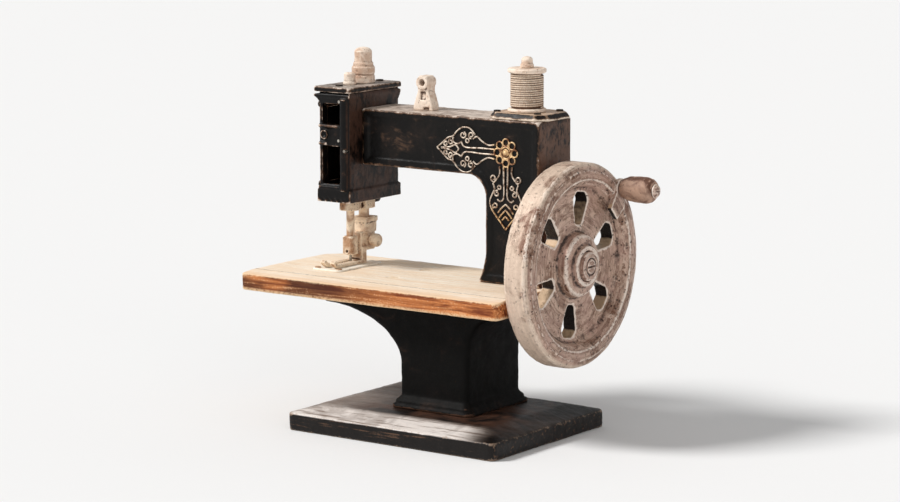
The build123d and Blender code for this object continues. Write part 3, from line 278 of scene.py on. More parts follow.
def worn_plinth(name):
    """Black plinth whose front bevel and left side carry a streaked silver-brown: painted sheen together with
    rubbed wear.
    """
    low, high = box_mm("base_plinth")
    paint = Paint(name, specular=0.25)
    broad = paint.noise(18, 5, 0.6, 0.5)
    streak = paint.noise(1.6, 6, 0.6, 0.3, paint.stretched(0.06, 1.0, 1.0))
    fine = paint.noise(1, 5, 0.7)
    edge = paint.field("edge")
    x, y = paint.axis("X"), paint.axis("Y")
    upward = paint.between(paint.facing("Z"), 0.25, 0.55)
    scraped = paint.between(paint.plus(streak, paint.both(fine, 0.2)), 0.66, 0.80)
    side = paint.mix(paint.both(scraped, 0.55), tone(18, 13, 11), tone(124, 92, 70))
    top = paint.mix(paint.between(broad, 0.40, 0.70), tone(12, 8, 7), tone(44, 32, 26))
    near_post = paint.both(paint.along(x, low.x + 15, low.x + 40), paint.along(x, high.x - 4, high.x - 22))
    near_post = paint.both(near_post, paint.along(y, low.y + 7.2, low.y + 21.2))
    top = paint.mix(paint.both(near_post, paint.between(broad, 0.44, 0.62)), top, tone(74, 50, 38))
    # Painted sheen together with rubbed wear: the front bevel and the left of the top turn a streaked
    # silver-brown, brightest in streaks along the bevel.
    bevel = paint.both(paint.along(y, low.y + 16.2, low.y + 9.7), paint.along(x, high.x - 4, high.x - 24))
    left = paint.along(paint.plus(x, paint.both(broad, 30 * MM)), low.x + 66, low.x + 24)
    rubbed = paint.either(bevel, paint.both(left, 0.85))
    shine = paint.mix(paint.between(streak, 0.30, 0.62), tone(128, 112, 102), tone(168, 154, 144))
    shine = paint.mix(paint.both(bevel, paint.between(streak, 0.34, 0.52)), shine, tone(222, 214, 208))
    shine = paint.mix(paint.both(paint.between(broad, 0.56, 0.40), 0.4), shine, tone(96, 76, 64))
    top = paint.mix(paint.both(rubbed, paint.between(fine, 0.22, 0.34)), top, shine)
    colour = paint.mix(upward, side, top)
    worn_edge = paint.plus(edge, paint.minus(fine, 0.5))
    colour = paint.mix(paint.both(paint.between(worn_edge, 0.42, 0.62), 0.6), colour, tone(156, 132, 112))
    colour = paint.mix(paint.both(paint.field("pit"), 0.85), colour, tone(8, 5, 4))
    height = paint.plus(paint.both(streak, 0.6), paint.both(fine, 0.35))
    return paint.finish(colour, paint.blend(streak, 0.34, 0.56), height, 0.2)


def cast_wheel(name):
    """Silver-brown wheel: streaks that follow the rim, brown crevices, dark pits and bright rubbed edges."""
    paint = Paint(name, specular=0.45, metallic=0.12)
    drift = paint.both(paint.noise(14, 4, 0.6), 10 * MM)
    radius = paint.distance("Y", WHEEL.y, "Z", WHEEL.z)
    rings = paint.vector(paint.plus(radius, drift), paint.axis("X"), drift)
    streak = paint.noise(1.6, 6, 0.68, 0.3, rings)
    broad = paint.noise(16, 5, 0.6, 0.5)
    middle = paint.noise(3.2, 6, 0.66, 0.4)
    fine = paint.noise(0.9, 5, 0.7)
    edge = paint.field("edge")
    colour = paint.mix(paint.between(streak, 0.34, 0.64), tone(108, 72, 50), tone(214, 184, 164))
    colour = paint.mix(paint.both(paint.between(broad, 0.40, 0.66), 0.50), colour, tone(190, 152, 138))
    colour = paint.mix(paint.both(paint.between(broad, 0.46, 0.32), 0.60), colour, tone(112, 66, 40))
    proud = paint.plus(edge, paint.minus(streak, 0.5))
    colour = paint.mix(paint.both(paint.between(proud, 0.16, 0.46), 0.9), colour, tone(246, 230, 216))
    pits = paint.both(paint.between(paint.cells(1.9), 0.30, 0.14), paint.between(middle, 0.48, 0.56))
    colour = paint.mix(paint.both(pits, 0.9), colour, tone(46, 28, 18))
    grime = paint.plus(paint.field("pit"), paint.minus(middle, 0.52))
    colour = paint.mix(paint.both(paint.between(grime, 0.06, 0.42), 0.92), colour, tone(42, 26, 18))
    # Painted highlight: the rim's outer face turns cream in broad patches.
    tread_highlight = paint.along(radius, WHEEL_RADIUS - 2.1, WHEEL_RADIUS - 1.1)
    tread_highlight = paint.both(tread_highlight, paint.between(broad, 0.34, 0.52))
    colour = paint.mix(paint.both(tread_highlight, 0.65), colour, tone(236, 214, 192))
    # Painted shade and painted light in the web's holes: the walls dark, the lips that face up lit cream.
    inner, outer = WEB_HOLES
    wall = paint.both(paint.along(radius, inner, inner + 1.2), paint.along(radius, outer, outer - 1.0))
    facing = paint.facing("X")
    wall = paint.both(wall, paint.between(paint.both(facing, facing), 0.30, 0.12))
    hole_shade_and_lit_lip = paint.mix(paint.between(paint.facing("Z"), 0.25, 0.60), tone(24, 14, 9), tone(206, 176, 144))
    colour = paint.mix(wall, colour, hole_shade_and_lit_lip)
    height = paint.minus(paint.plus(streak, paint.both(fine, 0.4)), paint.both(pits, 0.9))
    return paint.finish(colour, paint.blend(middle, 0.28, 0.50), height, 0.5)


def scroll_metal(name):
    """Thin raised scrollwork, silver with copper-gold round the rosette and towards its lowest point."""
    silver_above, gold_below = 112, 104
    paint = Paint(name, specular=0.5, metallic=0.3)
    middle = paint.noise(2.4, 5, 0.65, 0.5)
    radius = paint.distance("X", ROSETTE_X, "Z", ROSETTE_Z)
    at_rosette = paint.along(radius, ROSETTE_RADIUS + 2.1, ROSETTE_RADIUS - 1.9)
    at_bottom = paint.along(paint.axis("Z"), silver_above, gold_below)
    warm = paint.either(at_rosette, at_bottom)
    colour = paint.mix(paint.between(middle, 0.38, 0.56), tone(120, 92, 72), tone(226, 210, 192))
    gold = paint.mix(paint.between(middle, 0.40, 0.56), tone(134, 78, 36), tone(232, 190, 128))
    colour = paint.mix(paint.both(warm, 0.8), colour, gold)
    colour = paint.mix(paint.both(paint.between(middle, 0.40, 0.32), 0.8), colour, tone(40, 24, 16))
    return paint.finish(colour, paint.blend(middle, 0.3, 0.5), middle, 0.12)


def washed(name, crevice, body, light, pits, specular=0.3, dark_share=0.9, depth=0.2):
    """Pale wash over brown: light on what stands proud, brown in the hollows, with pits and smears."""
    paint = Paint(name, specular=specular)
    broad = paint.noise(10, 5, 0.6, 0.8)
    middle = paint.noise(3, 6, 0.68, 0.6)
    fine = paint.noise(0.8, 5, 0.7)
    edge = paint.field("edge")
    pit = paint.field("pit")
    ragged = paint.plus(paint.both(middle, 0.7), paint.both(fine, 0.4))
    colour = paint.mix(paint.between(broad, 0.36, 0.62), body, light)
    stain = paint.both(paint.between(ragged, 0.50, 0.36), 0.75)
    colour = paint.mix(stain, colour, crevice)
    hollow = paint.between(paint.plus(pit, paint.minus(ragged, 0.55)), 0.05, 0.45)
    colour = paint.mix(paint.both(hollow, dark_share), colour, crevice)
    proud = paint.between(paint.plus(edge, paint.minus(ragged, 0.55)), 0.25, 0.55)
    colour = paint.mix(proud, colour, light)
    flecks = paint.both(paint.between(paint.cells(1.6), 0.22, 0.10), paint.between(middle, 0.60, 0.44))
    colour = paint.mix(paint.both(flecks, pits), colour, crevice)
    height = paint.minus(paint.plus(middle, paint.both(fine, 0.6)), paint.both(flecks, 0.5))
    return paint.finish(colour, paint.blend(middle, 0.45, 0.70), height, depth)


def scrubbed_wood(name):
    """Pale scrubbed top with long grain and a scored line, orange-brown sides with a light lower edge."""
    low, _ = box_mm("bed_board")
    scored = low.y + 11
    paint = Paint(name, roughness=0.6, specular=0.25)
    grain = paint.noise(1.6, 7, 0.62, 0.9, paint.stretched(0.045, 1.0, 0.8))
    cracks = paint.noise(1.3, 6, 0.7, 1.5, paint.stretched(0.03, 1.0, 1.0))
    broad = paint.noise(30, 4, 0.55, 0.5, paint.stretched(0.4, 1.0, 1.0))
    fine = paint.noise(0.7, 5, 0.7)
    edge = paint.field("edge")
    upward = paint.between(paint.facing("Z"), 0.55, 0.85)
    top = paint.mix(paint.between(grain, 0.38, 0.66), tone(246, 220, 190), tone(253, 240, 222))
    top = paint.mix(paint.both(paint.between(broad, 0.54, 0.72), 0.40), top, tone(238, 200, 164))
    top = paint.mix(paint.both(paint.between(cracks, 0.34, 0.26), 0.30), top, tone(190, 140, 100))
    y = paint.axis("Y")
    line_front = paint.along(y, scored - 0.35, scored - 0.10)
    line_back = paint.along(y, scored + 0.35, scored + 0.10)
    line = paint.both(line_front, line_back)
    top = paint.mix(paint.both(line, paint.between(fine, 0.36, 0.50)), top, tone(70, 42, 28))
    side = paint.mix(paint.between(grain, 0.34, 0.68), tone(112, 48, 18), tone(212, 132, 74))
    # Painted shade: the sides turn darker towards the left end, in broad patches.
    left_end_shade = paint.along(paint.axis("X"), low.x + 109, low.x + 39)
    left_end_shade = paint.both(left_end_shade, paint.between(broad, 0.40, 0.56))
    side = paint.mix(paint.both(left_end_shade, 0.75), side, tone(52, 24, 12))
    flecked = paint.plus(paint.both(grain, 0.6), paint.both(fine, 0.5))
    side = paint.mix(paint.both(paint.between(flecked, 0.60, 0.70), 0.75), side, tone(226, 178, 134))
    low_edge = paint.along(paint.axis("Z"), low.z + 2.0, low.z + 0.8)
    low_edge = paint.both(low_edge, paint.between(fine, 0.36, 0.52))
    side = paint.mix(paint.both(low_edge, 0.8), side, tone(232, 190, 146))
    colour = paint.mix(upward, side, top)
    bevel = paint.both(upward, paint.along(y, low.y + 9, low.y - 0.5))
    colour = paint.mix(paint.both(bevel, 0.45), colour, tone(232, 176, 124))
    rub = paint.between(paint.plus(edge, paint.minus(fine, 0.5)), 0.30, 0.60)
    colour = paint.mix(paint.both(rub, 0.8), colour, tone(240, 208, 168))
    colour = paint.mix(paint.both(paint.field("pit"), 0.7), colour, tone(96, 56, 32))
    height = paint.plus(grain, paint.both(fine, 0.4))
    height = paint.plus(height, paint.both(paint.between(cracks, 0.26, 0.40), 0.8))
    return paint.finish(colour, paint.blend(grain, 0.72, 0.52), height, 0.28)


def turned_metal(name, dark, light, roughness=(0.28, 0.5), metallic=0.9):
    """Small machine parts: turned or blackened metal with smears of oil and dust."""
    paint = Paint(name, metallic=metallic)
    smear = paint.noise(4, 5, 0.65, 0.8)
    fine = paint.noise(0.6, 4, 0.7)
    colour = paint.mix(paint.between(smear, 0.36, 0.66), dark, light)
    return paint.finish(colour, paint.blend(smear, *roughness), fine, 0.06)


def cotton(name):
    """Wound thread: twisted fibres across each turn, with painted shade between the turns."""
    paint = Paint(name, roughness=0.85, specular=0.15)
    twist = paint.noise(0.5, 4, 0.7, 0.5, paint.stretched(1.0, 1.0, 0.5))
    broad = paint.noise(6, 4, 0.6)
    colour = paint.mix(paint.between(twist, 0.35, 0.65), tone(196, 168, 144), tone(236, 218, 198))
    colour = paint.mix(paint.both(paint.between(broad, 0.55, 0.70), 0.35), colour, tone(170, 134, 108))
    radius = paint.distance("X", SPOOL.x, "Y", SPOOL.y)
    # Painted shade in the grooves between the turns.
    groove_shade = paint.along(radius, THREAD_RADIUS - 0.08, THREAD_RADIUS - 0.28)
    colour = paint.mix(paint.both(groove_shade, 0.9), colour, tone(84, 54, 38))
    return paint.finish(colour, None, twist, 0.12)


# ------------------------------------------------------------------ finishes of slots, and of single nodes
SILVER = tone(208, 192, 178)
CREAM = tone(232, 214, 194)
SLOT_FINISH = {
    # The top tones below are the pale painted highlight, together with wear, on faces that point up.
    "black_enamel": distressed(
        "black_enamel", deep=tone(6, 4, 3), body=tone(30, 22, 18), rub=tone(104, 78, 60), bright=SILVER,
        rub_at=0.40, bright_at=0.62, top=(tone(128, 106, 90), tone(226, 210, 196), 0.95),
        side=(*COLUMN_SIDE, tone(112, 82, 66))),
    "cap_enamel": distressed(
        "cap_enamel", deep=tone(22, 15, 12), body=tone(52, 38, 30), rub=tone(132, 106, 86), bright=CREAM,
        rub_at=0.20, bright_at=0.44, top=(tone(132, 104, 86), tone(222, 194, 166), 1.0)),
    "bed_wood": scrubbed_wood("bed_wood"),
    "antique_white": washed(
        "antique_white", crevice=tone(74, 44, 30), body=tone(206, 174, 150), light=tone(246, 228, 210),
        pits=0.7),
    "wheel_metal": cast_wheel("wheel_metal"),
    "ornament_metal": scroll_metal("ornament_metal"),
    "thread": cotton("thread"),
    "dark_steel": turned_metal("dark_steel", tone(34, 28, 24), tone(78, 68, 60), (0.4, 0.6), 0.7),
    "bright_steel": turned_metal("bright_steel", tone(150, 142, 132), tone(206, 200, 190)),
    "iron": turned_metal("iron", tone(52, 46, 42), tone(88, 80, 74), (0.5, 0.7), 0.6),
    "brass": turned_metal("brass", tone(146, 106, 48), tone(204, 164, 88)),
}
HEAD_PAINT = distressed(
    "head_enamel", deep=tone(4, 2, 2), body=tone(16, 11, 9), rub=tone(98, 70, 52), bright=SILVER,
    rub_at=0.40, bright_at=0.60, side=(*HEAD_SIDE, tone(74, 52, 42)))
CAST_CREAM = washed(
    "cast_cream", crevice=tone(66, 36, 20), body=tone(176, 132, 98), light=tone(246, 226, 200), pits=0.9,
    dark_share=1.0, depth=0.4)
NODE_FINISH = {
    "base_plinth": worn_plinth("base_enamel"),
    "pedestal": distressed(
        "pedestal_enamel", deep=tone(4, 3, 2), body=tone(13, 9, 8), rub=tone(72, 50, 38),
        bright=tone(110, 84, 68), rub_at=0.46, bright_at=0.80, specular=0.12, gloss=(0.5, 0.75), specks=0.0,
        smears=0.25),
    "head_casing": HEAD_PAINT,
    "face_plate": HEAD_PAINT,
    # Its top tones are the pale painted highlight, together with wear, on faces that point up.
    "head_cap": distressed(
        "head_cap_enamel", deep=tone(10, 7, 6), body=tone(26, 19, 16), rub=tone(110, 84, 66), bright=SILVER,
        rub_at=0.26, bright_at=0.46, top=(tone(70, 54, 46), tone(196, 182, 170), 0.9)),
    "handle_grip": washed(
        "handle_paint", crevice=tone(34, 18, 11), body=tone(100, 64, 46), light=tone(188, 152, 130), pits=0.9,
        specular=0.45, depth=0.4),
    "needle_plate": washed(
        "plate_white", crevice=tone(150, 118, 90), body=tone(240, 226, 204), light=tone(252, 246, 234),
        pits=0.25),
    "bed_screws": washed(
        "pale_screw", crevice=tone(150, 104, 70), body=tone(226, 196, 162), light=tone(246, 226, 198),
        pits=0.3),
    "needle_plate_screws": CAST_CREAM,
    "needle_bar": CAST_CREAM,
    "needle_clamp": CAST_CREAM,
    "bar_guide": CAST_CREAM,
    "presser_bar": CAST_CREAM,
    "presser_foot": CAST_CREAM,
    "foot_screw": CAST_CREAM,
}


def dress(mesh, node):
    """Give a mesh the finish of the node it stands for."""
    mesh.materials.clear()
    mesh.materials.append(NODE_FINISH.get(node, SLOT_FINISH[SLOT_OF[node]]))


for node, thing in NODES.items():
    dress(thing.data, node)


# ------------------------------------------------------------------ mesh tools
def new_piece(name, mesh, node):
    """Put a finished mesh in the scene, with the body, slot and finish of the node it goes with."""
    piece = bpy.data.objects.new(name, mesh)
    bpy.context.scene.collection.objects.link(piece)
    for polygon in mesh.polygons:
        polygon.use_smooth = True
    dress(mesh, node)
    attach(piece, BODY_OF[node])
    return piece


def mesh_of(work, name):
    """A mesh of what was built in a bmesh."""
    mesh = bpy.data.meshes.new(name)
    work.to_mesh(mesh)
    work.free()
    return mesh


def skin(work, rings):
    """Join rings of vertices into a closed tube."""
    sides = len(rings[0])
    for near, far in zip(rings, rings[1:]):
        for side in range(sides):
            after = (side + 1) % sides
            work.faces.new((near[side], near[after], far[after], far[side]))
    work.faces.new(rings[0])
    work.faces.new(rings[-1][::-1])


def baked(shape):
    """An object's mesh with its modifiers applied."""
    bpy.context.view_layer.update()
    return bpy.data.meshes.new_from_object(shape.evaluated_get(bpy.context.evaluated_depsgraph_get()))


SHARP_EDGE = 0.42   # full relief, as a share of how far the averaging reaches


def mark_relief(mesh, rounds):
    """Store how far each vertex stands proud of, or lies below, its place averaged over so many rounds."""
    count = len(mesh.vertices)
    points = np.empty(count * 3)
    mesh.vertices.foreach_get("co", points)
    points = points.reshape(-1, 3)
    normals = np.empty(count * 3)
    mesh.vertex_normals.foreach_get("vector", normals)
    normals = normals.reshape(-1, 3)
    ends = np.empty(len(mesh.edges) * 2, dtype=np.int64)
    mesh.edges.foreach_get("vertices", ends)
    first, second = ends.reshape(-1, 2).T
    degree = np.maximum(np.bincount(ends, minlength=count), 1)[:, None]

    def spread(values):
        total = np.empty_like(values)
        for column in range(values.shape[1]):
            total[:, column] = (np.bincount(first, weights=values[second, column], minlength=count)
                                + np.bincount(second, weights=values[first, column], minlength=count))
        return total / degree

    average = points.copy()
    for _ in range(rounds):
        average = spread(average)
    spacing = np.linalg.norm(points[first] - points[second], axis=1).mean()
    relief = ((points - average) * normals).sum(1) / (SHARP_EDGE * spacing * math.sqrt(rounds))
    for name, values in (("edge", relief), ("pit", -relief)):
        layer = mesh.attributes.new(name, "FLOAT", "POINT")
        layer.data.foreach_set("value", np.clip(values, 0, 1).astype(np.float32))


def clouds(name, size):
    """A cloud texture that moves points."""
    texture = bpy.data.textures.new(name, "CLOUDS")
    texture.noise_scale = size * MM
    texture.noise_depth = 3
    return texture


LUMPS = clouds("lumps", 7.5)
GRAIN = clouds("grain", 1.6)


def weathered(name, mesh, node, voxel, lump, grain, rounding, reach, keep, inset=0.0):
    """A rough casting made from a plain mesh: edges rounded, faces uneven, relief stored for its paint.

    The mesh is rebuilt from voxels, smoothed for some rounds, moved by up to a lump and a grain, and thinned
    to the share to keep. The relief is taken over a reach in rounds. An inset draws every face back, which
    also opens the bores.
    """
    shell = bpy.data.objects.new("shell", mesh)
    bpy.context.scene.collection.objects.link(shell)
    remesh = shell.modifiers.new("remesh", "REMESH")
    remesh.mode = "VOXEL"
    remesh.voxel_size = voxel * MM
    smooth = shell.modifiers.new("smooth", "SMOOTH")
    smooth.factor = 0.5
    smooth.iterations = rounding
    for texture, amount in ((LUMPS, lump), (GRAIN, grain)):
        push = shell.modifiers.new("push", "DISPLACE")
        push.texture = texture
        push.texture_coords = "LOCAL"
        push.strength = 2 * amount * MM
        push.mid_level = 0.5
    if inset:
        draw_back = shell.modifiers.new("draw_back", "DISPLACE")
        draw_back.strength = -inset * MM
        draw_back.mid_level = 0.0
    dense = baked(shell)
    mark_relief(dense, reach)
    shell.modifiers.clear()
    shell.data = dense
    shell.modifiers.new("thin", "DECIMATE").ratio = keep
    final = baked(shell)
    bpy.data.objects.remove(shell)
    return new_piece(name, final, node)


def worn(node, voxel, lump, grain, rounding, reach=10, keep=0.45, inset=0.0):
    """A CAD node as a rough casting."""
    work = bmesh.new()
    work.from_mesh(NODES[node].data)
    bmesh.ops.remove_doubles(work, verts=work.verts, dist=0.001 * MM)
    plain = mesh_of(work, node)
    piece = weathered(node + "_worn", plain, node, voxel, lump, grain, rounding, reach, keep, inset)
    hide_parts(node)


# ------------------------------------------------------------------ the castings
# Node, voxel, lump, grain, rounds of smoothing.
worn("base_plinth", 0.70, 0.30, 0.12, 3)
worn("pedestal", 0.70, 0.25, 0.10, 3)
worn("bed_board", 0.65, 0.20, 0.10, 3)
worn("arm_casting", 0.62, 0.22, 0.08, 2)
worn("column_cap", 0.42, 0.18, 0.10, 3, keep=0.6)
worn("rear_cover", 0.55, 0.12, 0.06, 2)
worn("head_casing", 0.45, 0.16, 0.08, 2)
worn("head_cap", 0.40, 0.15, 0.10, 3, keep=0.6)
worn("face_plate", 0.50, 0.12, 0.06, 2)
worn("handwheel", 0.46, 0.22, 0.13, 2)
worn("wheel_screw", 0.30, 0.08, 0.06, 2, reach=6)
worn("crank_plate", 0.35, 0.08, 0.06, 2, reach=6)
worn("handle_grip", 0.35, 0.30, 0.14, 2)
worn("handle_screw", 0.26, 0.04, 0.04, 2, reach=6)
worn("needle_plate", 0.36, 0.04, 0.04, 1, reach=6)
worn("presser_nut", 0.32, 0.12, 0.10, 2, reach=8)
worn("needle_bar_cap", 0.30, 0.08, 0.06, 2, reach=8, inset=0.30)
worn("bar_guide", 0.36, 0.10, 0.08, 2, reach=8)
worn("presser_foot", 0.32, 0.08, 0.07, 2, reach=8)
worn("needle_clamp", 0.28, 0.06, 0.06, 2, reach=8)
worn("foot_screw", 0.28, 0.06, 0.05, 2, reach=6)
worn("thread_guide", 0.32, 0.14, 0.10, 2, reach=8)
worn("spool", 0.32, 0.05, 0.05, 2, reach=8)
worn("spool_pin", 0.28, 0.08, 0.06, 2, reach=6)


# ------------------------------------------------------------------ thread on the spool
def ring(work, centre, radius, out, up, sides):
    """Vertices round a centre, in the plane of two directions."""
    turns = [2 * math.pi * side / sides for side in range(sides)]
    return [work.verts.new(centre + radius * (math.cos(turn) * out + math.sin(turn) * up)) for turn in turns]


def thread_turns():
    """The wound thread as one continuous helix over its core, its turns a little uneven."""
    low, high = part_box("thread_winding")
    middle = (low + high) / 2
    outer = (high.x - low.x) / 2
    strand = 0.56 * MM
    wander_up, wander_out = 0.05 * MM, 0.03 * MM
    turns, steps = 15, 44
    rise = (high.z - low.z - 2 * strand) / turns
    up = Vector((0, 0, 1))
    work = bmesh.new()
    rings = []
    for step in range(turns * steps + 1):
        angle = 2 * math.pi * step / steps
        out = Vector((math.cos(angle), math.sin(angle), 0))
        height = low.z + strand + rise * step / steps + wander_up * math.sin(angle * 0.37)
        reach = outer - strand + wander_out * math.sin(angle * 0.53 + 1.0)
        centre = Vector((middle.x, middle.y, height)) + reach * out
        rings.append(ring(work, centre, strand, out, up, sides=7))
    skin(work, rings)
    core_radius = outer - 1.2 * strand
    core_length = high.z - low.z - 0.02 * MM
    core = bmesh.ops.create_cone(work, cap_ends=True, segments=64, radius1=core_radius, radius2=core_radius,
                                 depth=core_length)["verts"]
    bmesh.ops.translate(work, verts=core, vec=middle)
    bmesh.ops.recalc_face_normals(work, faces=work.faces)
    piece = new_piece("thread_turns", mesh_of(work, "thread_turns"), "thread_winding")
    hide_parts("thread_winding")


thread_turns()


# ------------------------------------------------------------------ scrollwork on the arm and column
def smooth_path(points):
    """A curve through all the points; two points stay a straight line."""
    if len(points) == 2:
        return [Vector(point) for point in points]
    steps = 7
    padded = [points[0], *points, points[-1]]
    path = []
    for a, b, c, d in zip(padded, padded[1:], padded[2:], padded[3:]):
        a, b, c, d = Vector(a), Vector(b), Vector(c), Vector(d)
        for step in range(steps):
            t = step / steps
            path.append(0.5 * (2 * b + (c - a) * t + (2 * a - 5 * b + 4 * c - d) * t * t
                               + (3 * b - a - 3 * c + d) * t ** 3))
    return path + [Vector(points[-1])]


def curl(u, v, radius, start, sweep):
    """A spiral that winds inwards round (u, v), angles in degrees."""
    steps = 8
    points = []
    for step in range(steps + 1):
        share = step / steps
        angle = math.radians(start + sweep * share)
        reach = radius * (1 - 0.62 * share)
        points.append((u + reach * math.cos(angle), v + reach * math.sin(angle)))
    return points


def loop(u, v, radius):
    """A closed circle round (u, v)."""
    steps = 12
    angles = [2 * math.pi * step / steps for step in range(steps + 1)]
    return [(u + radius * math.cos(angle), v + radius * math.sin(angle)) for angle in angles]


def add_line(work, points, place, radius):
    """A raised line along the points; place turns branch coordinates into X and Z."""
    line_height = 0.35   # of its middle over the arm's front
    bulge = 1.3          # how much thicker it is than wide
    spots = [place(u, v) for u, v in points]
    path = smooth_path([(x * MM, (ARM_FRONT - line_height) * MM, z * MM) for x, z in spots])
    outward = Vector((0, -bulge, 0))
    rings = []
    for index, spot in enumerate(path):
        ahead = path[min(index + 1, len(path) - 1)] - path[max(index - 1, 0)]
        ahead.normalize()
        across = Vector((-ahead.z, 0, ahead.x))
        rings.append(ring(work, spot, radius * MM, across, outward, sides=6))
    skin(work, rings)


def scrollwork():
    """Rosette, a branch along the arm with a pointed tip, and a pear-shaped branch down the column."""
    def along_arm(u, v):
        return ROSETTE_X - u, ROSETTE_Z + v

    def down_column(u, v):
        return ROSETTE_X + v, ROSETTE_Z - u

    petals, petal_at, petal_radius = 8, 4.9, 1.75
    spoke_ends = (2.4, 5.6)
    heart_rings = (1.5, 2.7)
    petal_line, spoke_line, heart_line, branch_line = 0.36, 0.34, 0.42, 0.38
    boss_radius, boss_height = 1.25, 0.5
    work = bmesh.new()
    for petal in range(petals):
        angle = 2 * math.pi * petal / petals
        outline = loop(petal_at * math.cos(angle), petal_at * math.sin(angle), petal_radius)
        add_line(work, outline, along_arm, petal_line)
        gap = angle + math.pi / petals
        spoke = [(reach * math.cos(gap), reach * math.sin(gap)) for reach in spoke_ends]
        add_line(work, spoke, along_arm, spoke_line)
    for radius in heart_rings:
        add_line(work, loop(0, 0, radius), along_arm, heart_line)
    for way in (-1, 1):
        arm_lines = [
            [(6.0, 1.2 * way), (14, 1.3 * way), (23, 1.1 * way), (25.5, 3.4 * way)],
            [(6.5, 3.4 * way), (10, 3.0 * way), (13.5, 4.6 * way), (16.5, 6.6 * way), (18.6, 5.4 * way)],
            curl(19.8, 7.0 * way, 1.7, -90 * way, 400 * way),
            [(17.5, 7.4 * way), (20.5, 10.2 * way), (24.5, 10.6 * way), (28, 8.6 * way), (30.4, 6.0 * way),
             (33.5, 5.0 * way), (36.6, 2.4 * way), (39.7, 0)],
            curl(24.6, 6.9 * way, 1.8, 120 * way, 420 * way),
            [(25.2, 3.6 * way), (28.2, 2.4 * way), (30.4, 3.6 * way), (30.2, 5.6 * way)],
            curl(31.6, 3.2 * way, 1.5, 90 * way, -380 * way),
            curl(34.6, 1.9 * way, 1.3, 150 * way, -360 * way),
            [(27, 0), (29, 1.9 * way), (32.2, 0.7 * way), (37.4, 0)],
            loop(22.0, 4.3 * way, 0.95),
        ]
        for line in arm_lines:
            add_line(work, line, along_arm, branch_line)
        column_lines = [
            [(6.4, 1.2 * way), (13, 1.1 * way), (21.0, 1.0 * way), (23.2, 3.0 * way), (22.4, 4.6 * way)],
            [(6.6, 3.6 * way), (10.0, 3.4 * way), (12.6, 5.0 * way), (14.6, 7.0 * way)],
            curl(12.4, 7.0 * way, 1.7, 0, 380 * way),
            [(14.8, 7.2 * way), (17.5, 6.4 * way), (20.0, 7.6 * way), (23.4, 8.9 * way), (27.0, 8.0 * way),
             (30.6, 5.2 * way), (33.4, 2.6 * way), (36.6, 0)],
            curl(19.6, 5.0 * way, 1.6, 200 * way, -400 * way),
            curl(25.6, 5.8 * way, 1.6, 40 * way, 380 * way),
            [(24.4, 0), (26.6, 2.6 * way), (28.8, 4.4 * way)],
            [(27.2, 0), (29.4, 2.3 * way), (31.0, 3.6 * way)],
            [(30.2, 0), (32.0, 1.9 * way)],
            loop(16.6, 3.6 * way, 0.9),
        ]
        for line in column_lines:
            add_line(work, line, down_column, branch_line)
    boss = bmesh.ops.create_uvsphere(work, u_segments=20, v_segments=12, radius=boss_radius * MM)["verts"]
    boss_at = Vector((ROSETTE_X, ARM_FRONT - boss_height, ROSETTE_Z))
    bmesh.ops.translate(work, verts=boss, vec=boss_at * MM)
    bmesh.ops.recalc_face_normals(work, faces=work.faces)
    piece = new_piece("scrollwork", mesh_of(work, "scrollwork"), "arm_ornament")
    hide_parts("arm_ornament")


scrollwork()


# ------------------------------------------------------------------ cast sleeve round the presser bar
def presser_sleeve():
    """Stepped block cast round the presser bar, above its foot."""
    bar = middle_mm("presser_bar")
    foot_top = box_mm("presser_foot")[1].z
    set_back = 0.3      # of the blocks' middle behind the bar's
    extra_depth = 5.1   # of a block over its half width
    work = bmesh.new()
    for half_width, bottom, top in ((4.1, -0.8, 5.2), (4.7, 4.6, 7.0)):
        size = Vector((2 * half_width, half_width + extra_depth, top - bottom))
        centre = Vector((bar.x, bar.y + set_back, foot_top + (bottom + top) / 2))
        block = bmesh.ops.create_cube(work, size=1.0)["verts"]
        bmesh.ops.scale(work, verts=block, vec=size * MM)
        bmesh.ops.translate(work, verts=block, vec=centre * MM)
    plain = mesh_of(work, "presser_sleeve")
    weathered("presser_sleeve", plain, "presser_foot", 0.30, 0.16, 0.12, 4, reach=8, keep=0.5)


presser_sleeve()


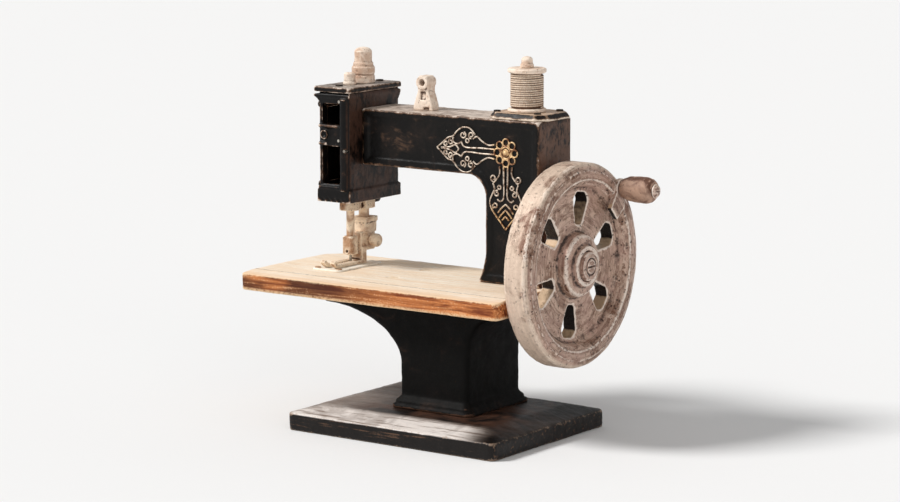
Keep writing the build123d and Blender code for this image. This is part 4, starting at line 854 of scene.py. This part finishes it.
# ------------------------------------------------------------------ floor, light and camera
FLOOR_HALF = 30000.0
FLOOR_DROP = 0.2                         # of the floor under the plinth's underside
FOCAL_LENGTH, SENSOR_WIDTH = 120.0, 36.0
NEAR_CLIP, FAR_CLIP = 50.0, 100000.0
CAMERA_AT = Vector((818.83, -1147.99, 310.29))
CAMERA_AZIMUTH = math.radians(35.426)    # 0 looks along +Y, 90 along -X
CAMERA_ELEVATION = math.radians(9.043)

floor_mesh = bpy.data.meshes.new("floor")
reach = FLOOR_HALF * MM
floor_corners = [(-reach, -reach, 0), (reach, -reach, 0), (reach, reach, 0), (-reach, reach, 0)]
floor_mesh.from_pydata(floor_corners, [], [(0, 1, 2, 3)])
floor_mesh.materials.append(Paint("floor", roughness=0.9, specular=0.1).finish(tone(238, 238, 238)))
floor = bpy.data.objects.new("floor", floor_mesh)
floor.location.z = -FLOOR_DROP * MM
bpy.context.scene.collection.objects.link(floor)


def sun(name, towards, strength, spread, colour):
    """Even light from far away, with soft-edged shadows; the spread is in degrees."""
    data = bpy.data.lights.new(name, "SUN")
    data.energy = strength
    data.angle = math.radians(spread)
    data.color = colour
    light = bpy.data.objects.new(name, data)
    light.rotation_euler = Vector(towards).to_track_quat("Z", "Y").to_euler()
    bpy.context.scene.collection.objects.link(light)


sun("key", (-0.66, -0.62, 0.90), 2.75, 16.0, (1.0, 0.992, 0.98))
sun("fill", (0.80, -0.60, 0.45), 0.30, 40.0, (1.0, 0.98, 0.96))

world = bpy.data.worlds.new("studio")
world.use_nodes = True
background = world.node_tree.nodes["Background"]
background.inputs["Color"].default_value = (1.0, 1.0, 1.0, 1.0)
background.inputs["Strength"].default_value = 0.44
bpy.context.scene.world = world
bpy.context.scene.view_settings.view_transform = "Standard"

forward = Vector((-math.sin(CAMERA_AZIMUTH) * math.cos(CAMERA_ELEVATION),
                  math.cos(CAMERA_AZIMUTH) * math.cos(CAMERA_ELEVATION),
                  -math.sin(CAMERA_ELEVATION)))
camera_data = bpy.data.cameras.new("camera")
camera_data.lens = FOCAL_LENGTH
camera_data.sensor_width = SENSOR_WIDTH
camera_data.clip_start = NEAR_CLIP * MM
camera_data.clip_end = FAR_CLIP * MM
camera = bpy.data.objects.new("camera", camera_data)
camera.location = CAMERA_AT * MM
camera.rotation_euler = forward.to_track_quat("-Z", "Y").to_euler()
bpy.context.scene.collection.objects.link(camera)
bpy.context.scene.camera = camera
